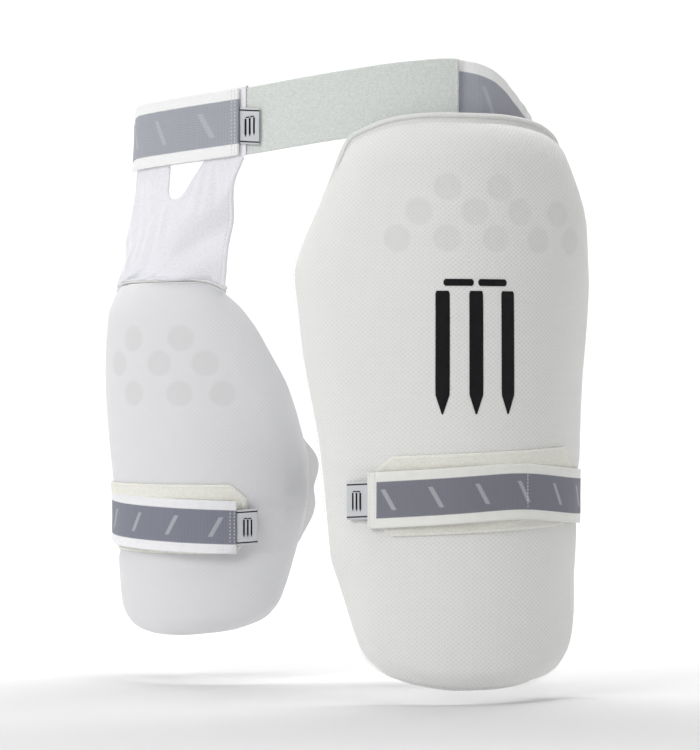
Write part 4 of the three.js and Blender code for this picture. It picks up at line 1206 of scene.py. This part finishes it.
# %% [markdown]
# ## Materials
#
# Colours are written as sRGB hex, the way a colour chart gives them, and turned into linear light.
# The same `node` function adds each shader node, so a material reads like a list.
# %% Material helpers
def linear(hex_colour):
    values = [int(hex_colour[i : i + 2], 16) / 255 for i in (0, 2, 4)]
    return tuple(v / 12.92 if v <= 0.04045 else ((v + 0.055) / 1.055) ** 2.4 for v in values) + (1,)


def maths(tree, operation, a, b=0.0, c=0.0):
    return node(tree, "ShaderNodeMath", {0: a, 1: b, 2: c}, operation=operation).outputs[0]


def blend_colour(tree, factor, a, b):
    made = node(tree, "ShaderNodeMix", {0: factor, 6: a, 7: b}, data_type="RGBA")
    return made.outputs[2]


def ramp(tree, value, low, high, to_low=0.0, to_high=1.0):
    feeds = {"Value": value, "From Min": low, "From Max": high, "To Min": to_low, "To Max": to_high}
    return node(tree, "ShaderNodeMapRange", feeds, interpolation_type="SMOOTHSTEP").outputs[0]


def new_material(name, roughness, sheen=0.0, sheen_roughness=0.5, specular=0.3):
    material = bpy.data.materials.new(name)
    material.use_nodes = True
    tree = material.node_tree
    shader = tree.nodes["Principled BSDF"]
    shader.inputs["Roughness"].default_value = roughness
    shader.inputs["Sheen Weight"].default_value = sheen
    shader.inputs["Sheen Roughness"].default_value = sheen_roughness
    shader.inputs["Specular IOR Level"].default_value = specular
    uv = node(tree, "ShaderNodeUVMap", uv_map="flat").outputs[0]
    axes = node(tree, "ShaderNodeSeparateXYZ", {0: uv})
    return material, tree, shader, uv, axes.outputs[0], axes.outputs[1]


def finish_material(tree, shader, colour, height, depth):
    """Joins a colour and a height pattern, with its real depth in metres, to the shader."""
    if isinstance(colour, bpy.types.NodeSocket):
        tree.links.new(colour, shader.inputs["Base Color"])
    else:
        shader.inputs["Base Color"].default_value = colour
    bump = node(tree, "ShaderNodeBump", {"Strength": 1.0, "Distance": depth, "Height": height})
    tree.links.new(bump.outputs[0], shader.inputs["Normal"])


def waves(tree, value, pitch, shift=0.0):
    """A wave from -1 to 1 that repeats every pitch, in metres."""
    return maths(tree, "SINE", maths(tree, "MULTIPLY_ADD", value, 2 * math.pi / pitch, shift))


# %% [markdown]
# ## Mesh knit and plain knit
#
# The pad cover is a polyester warp-knit: its tiny holes lie in a diamond grid of 2.2 mm, with painted shade inside
# them.
# The product of two waves across one another gives that grid. Over a vent hole the cloth is painted a little greyer:
# painted shade from the hole beneath.
# %% Cover materials
def mesh_knit(name, hex_colour, hex_hole_shade, hex_vent_shade, depth=0.00018):
    material, tree, shader, uv, x, y = new_material(name, 0.82, 0.12, 0.4, 0.25)
    holes = maths(tree, "MULTIPLY", waves(tree, x, 0.0032), waves(tree, y, 0.0032))
    hole = ramp(tree, holes, 0.2, 0.85)
    grain = node(tree, "ShaderNodeTexNoise", {"Vector": uv, "Scale": 900.0, "Detail": 3.0}).outputs[0]
    dot = ramp(tree, node(tree, "ShaderNodeAttribute", attribute_name="dot_mm").outputs["Fac"], 11.5, 8.0)
    # Painted shade: the knit's holes and the cover over each vent hole are painted darker.
    base = blend_colour(tree, maths(tree, "MULTIPLY", hole, 0.6), linear(hex_colour), linear(hex_hole_shade))
    base = blend_colour(tree, maths(tree, "MULTIPLY", dot, 0.6), base, linear(hex_vent_shade))
    height = maths(tree, "MULTIPLY_ADD", hole, -1.0, maths(tree, "MULTIPLY", grain, 0.35))
    finish_material(tree, shader, base, height, depth)
    return material


def plain_knit(name, hex_colour, pitch=0.0012, depth=0.00012, roughness=0.8, sheen=0.15):
    material, tree, shader, uv, x, y = new_material(name, roughness, sheen, 0.4, 0.25)
    ribs = maths(tree, "MULTIPLY", waves(tree, x, pitch), waves(tree, y, pitch * 1.6))
    grain = node(tree, "ShaderNodeTexNoise", {"Vector": uv, "Scale": 600.0, "Detail": 4.0}).outputs[0]
    height = maths(tree, "MULTIPLY_ADD", ribs, 0.5, grain)
    shade = ramp(tree, grain, 0.3, 0.7, 0.0, 1.0)
    dark = tuple(v * 0.93 for v in linear(hex_colour)[:3]) + (1,)
    finish_material(tree, shader, blend_colour(tree, shade, dark, linear(hex_colour)), height, depth)
    return material


def pile(name, hex_high, hex_low_shade, scale, depth):
    material, tree, shader, uv, x, y = new_material(name, 0.95, 0.35, 0.6, 0.1)
    loops = node(tree, "ShaderNodeTexVoronoi", {"Vector": uv, "Scale": scale, "Randomness": 0.9}).outputs["Distance"]
    feeds = {"Vector": uv, "Scale": scale * 0.35, "Detail": 5.0, "Roughness": 0.65}
    tufts = node(tree, "ShaderNodeTexNoise", feeds).outputs[0]
    height = maths(tree, "SUBTRACT", tufts, maths(tree, "MULTIPLY", loops, 0.8))
    # Painted shade: the low parts of the pile get the darker colour.
    colour = blend_colour(tree, ramp(tree, height, -0.2, 0.5), linear(hex_low_shade), linear(hex_high))
    finish_material(tree, shader, colour, height, depth)
    return material


# %% Fabrics of the pads
# A warp-knit with tiny holes: the painted shade in them takes the shine off the white.
# The real mesh is about 1.2 mm, and it is drawn coarser so that it shows.
COVER_OUTER = mesh_knit("white polyester warp-knit mesh", "F3F3F1", "E3E3E1", "E6E7E4")
# The same knit, finer: it looks almost smooth and a little greyer.
COVER_INNER = mesh_knit("white polyester warp-knit mesh, fine", "E9E9EB", "E4E4E7", "DDDDDE", 0.00008)
# Brushed against the skin, so it is soft, matt and slightly grey.
LINING_KNIT = plain_knit("brushed polyester lining knit", "ECECEC")
# A folded tape, woven tight: whiter than the cover, with fine ribs.
BINDING_TAPE = plain_knit("white folded polyester binding tape", "F6F6F4", 0.0009, 0.00015)
# A smooth filament knit: the brightest white, faintly blue, with a soft sheen on its folds.
HANGER_KNIT = plain_knit("smooth white polyester tricot", "FAFAFF", 0.0008, 0.00006, 0.72, 0.2)
# Nylon loops scatter light every way, so the patch is matt and warm.
LOOP_PILE = pile("ivory nylon loop pile", "FFFEF6", "F4F3EA", 900, 0.0003)
# A short brushed pile: dense, matt and grey-green, with painted shade in its depths.
BELT_PILE = pile("grey-green brushed loop cloth", "EDF0ED", "DADFDB", 1300, 0.0002)
# Moulded hooks in close rows look like coarse satin plastic.
HOOK = plain_knit("moulded white nylon hook tape", "E6E6E6", 0.0016, 0.0005, 0.5)

# %% [markdown]
# ## Woven elastic
#
# Elastic is woven with rubber threads lengthways, and the weft shows as fine ribs across it.
# A grey stripe runs down its middle, and the selvedges stay white.
# A slim slanted bar is woven into the stripe now and then.
# %% Elastic and tabs
def elastic(name, hex_stripe, hex_edge, stripe, motif_pitch, white_end=-1.0):
    material, tree, shader, uv, x, y = new_material(name, 0.7, 0.1, 0.4, 0.3)
    from_middle = maths(tree, "ABSOLUTE", y)
    inside = ramp(tree, from_middle, stripe / 2 + 0.0004, stripe / 2 - 0.0004)
    ribs = waves(tree, x, 0.0011)
    cords = waves(tree, y, 0.0019)
    slant = maths(tree, "MULTIPLY_ADD", y, 0.55, x)
    turn = maths(tree, "FRACT", maths(tree, "DIVIDE", slant, motif_pitch))
    bars = maths(tree, "MULTIPLY", ramp(tree, turn, 0.40, 0.43), ramp(tree, turn, 0.53, 0.5))
    bars = maths(tree, "MULTIPLY", bars, ramp(tree, from_middle, stripe * 0.3, stripe * 0.28))
    grain = node(tree, "ShaderNodeTexNoise", {"Vector": uv, "Scale": 1500.0, "Detail": 3.0}).outputs[0]
    # Painted shade: the stripe is darker in the grooves between the ribs.
    shaded_between_ribs = tuple(v * 0.82 for v in linear(hex_stripe)[:3]) + (1,)
    grey = blend_colour(tree, ramp(tree, ribs, -0.6, 0.9), shaded_between_ribs, linear(hex_stripe))
    grey = blend_colour(tree, maths(tree, "MULTIPLY", bars, 0.7), grey, linear("C4C5CB"))
    past_end = ramp(tree, x, white_end + 0.0002, white_end + 0.0006)
    base = blend_colour(tree, maths(tree, "MULTIPLY", inside, past_end), linear(hex_edge), grey)
    height = maths(tree, "ADD", maths(tree, "MULTIPLY_ADD", ribs, 0.6, maths(tree, "MULTIPLY", cords, 0.35)), grain)
    finish_material(tree, shader, base, height, 0.00011)
    return material


# Woven polyester over rubber: satin ribs across the strap, with a dark grey stripe between white selvedges.
ELASTIC_LEG = elastic("woven polyester elastic, grey stripe", "8B8C97", "F8F8F4", 0.026, 0.034, 0.0065)
# The small strap's stripe is a little bluer.
ELASTIC_SMALL = elastic("woven polyester elastic, blue-grey stripe", "8F919F", "FAFAFD", 0.026, 0.034)
# The waistband is wider and paler, as it is woven more openly.
ELASTIC_BELT = elastic("woven waistband elastic, grey stripe", "B4B6C0", "FFFFFF", 0.033, 0.045)


def satin_tab(name):
    material, tree, shader, uv, x, y = new_material(name, 0.45, 0.15, 0.3, 0.4)
    border = maths(tree, "ABSOLUTE", maths(tree, "SUBTRACT", maths(tree, "ABSOLUTE", y), 0.0116))
    line = ramp(tree, border, 0.0007, 0.0004)
    threads = maths(tree, "ADD", waves(tree, x, 0.0007), waves(tree, y, 0.0007))
    # The light grey base is white satin, partly painted darker as shade.
    base = blend_colour(tree, line, linear("DBDDE1"), linear("1C1C1E"))
    finish_material(tree, shader, base, threads, 0.00005)
    return material


def thread_look(material, hex_colour):
    material.use_nodes = True
    tree = material.node_tree
    shader = tree.nodes["Principled BSDF"]
    shader.inputs["Roughness"].default_value = 0.55
    place = node(tree, "ShaderNodeTexCoord").outputs["Object"]
    twist = node(tree, "ShaderNodeTexWave", {"Vector": place, "Scale": 1250.0, "Distortion": 1.0}).outputs["Fac"]
    finish_material(tree, shader, linear(hex_colour), twist, 0.00005)


# Twisted thread: short bright glints along each stitch.
thread_look(THREAD, "F4F4F4")
thread_look(FIBRE, "FAF9F1")
# Satin weave floats its threads on top, so a tab is smooth and shines softly.
TAB = satin_tab("white woven satin tab")
# Ink soaks in, so the cloth's mesh still shows through the black.
INK = plain_knit("black screen-print ink", "101012", 0.0022, 0.00008, 0.55, 0.0)

# %% What is made of what
WORN = [
    (COVER_OUTER, [outer_pad]), (COVER_INNER, [inner_pad]), (LINING_KNIT, [outer_lining, inner_lining]),
    (BINDING_TAPE, [binding, piping]), (HANGER_KNIT, [hanger, *hems]), (LOOP_PILE, [outer_patch, inner_patch]),
    (BELT_PILE, [belt_panel]), (HOOK, [outer_tape, inner_tape, belt_tape]), (ELASTIC_LEG, [outer_strap]),
    (ELASTIC_SMALL, [inner_strap]), (ELASTIC_BELT, [belt_elastic]), (TAB, [outer_label, inner_label, belt_label]),
    (INK, [stumps, *tab_marks]),
]
for material, pieces in WORN:
    for obj in pieces:
        obj.data.materials.clear()
        obj.data.materials.append(material)
    print(material.name, "on", [obj.name for obj in pieces])

# %% [markdown]
# ## Floor and light
#
# A pale round floor curves up into a wall on every side, so no edge shows behind the guard from any angle.
# A large soft light hangs at the front left and another above. A weak one fills from the right,
# and a long one is turned to the wall, to make it white.
# %% Studio
def make_studio():
    profile = [(0.0, 0.0), (0.6, 0.0), (1.4, 0.0), (2.6, 0.0)]
    profile += [(2.6 + 1.4 * math.sin(a), 1.4 - 1.4 * math.cos(a)) for a in np.linspace(0.06, math.pi / 2, 24)]
    profile += [(4.0, 3.4)]
    turns = np.linspace(0, 2 * math.pi, 97)[:-1]
    floor = TARGET.z - 0.237
    points = []
    for out, up in profile[1:]:
        points += [(TARGET.x + out * math.cos(a), TARGET.y + out * math.sin(a), floor + up) for a in turns]
    faces = grid_faces(len(profile) - 1, len(turns), wrap=True, flip=True) + [list(range(len(turns)))]
    mesh = bpy.data.meshes.new("studio_floor")
    mesh.from_pydata(points, [], faces)
    mesh.shade_smooth()
    obj = bpy.data.objects.new("studio_floor", mesh)
    bpy.context.scene.collection.objects.link(obj)
    material, tree, shader, uv, x, y = new_material("matt white paper", 0.9, 0.0, 0.5, 0.1)
    where = node(tree, "ShaderNodeTexCoord").outputs["Object"]
    grain = node(tree, "ShaderNodeTexNoise", {"Vector": where, "Scale": 300.0, "Detail": 2.0}).outputs[0]
    finish_material(tree, shader, linear("ECECEC"), grain, 0.00005)
    mesh.materials.append(material)
    return obj


make_studio()


# %% Lights
def soft_light(name, place, size, watts, aim=None):
    data = bpy.data.lights.new(name, "AREA")
    data.shape = "RECTANGLE"
    data.size, data.size_y = size
    data.energy = watts
    obj = bpy.data.objects.new(name, data)
    bpy.context.scene.collection.objects.link(obj)
    obj.location = place
    obj.rotation_mode = "QUATERNION"
    obj.rotation_quaternion = ((aim or TARGET) - Vector(place)).to_track_quat("-Z", "Y")
    return obj


left_of_camera = Vector((-math.cos(AZIMUTH), -math.sin(AZIMUTH), 0))
soft_light("key", TARGET + away * 2.0 + left_of_camera * 2.1 + Vector((0, 0, 1.35)), (1.4, 1.4), 34)
soft_light("fill", TARGET + away * 0.9 - left_of_camera * 2.2 + Vector((0, 0, 0.5)), (1.0, 1.6), 3)
soft_light("top", TARGET + away * 0.7 + Vector((0, 0, 1.9)), (2.0, 1.4), 15)
paper_place = TARGET - away * 0.9 + Vector((0, 0, 1.9))
soft_light("paper", paper_place, (2.8, 1.2), 94, TARGET - away * 2.9 + Vector((0, 0, -0.1)))

world = bpy.data.worlds.new("pale_room")
world.use_nodes = True
world.node_tree.nodes["Background"].inputs["Color"].default_value = (1, 1, 1, 1)
world.node_tree.nodes["Background"].inputs["Strength"].default_value = 0.08
bpy.context.scene.world = world
bpy.context.scene.view_settings.view_transform = "Standard"
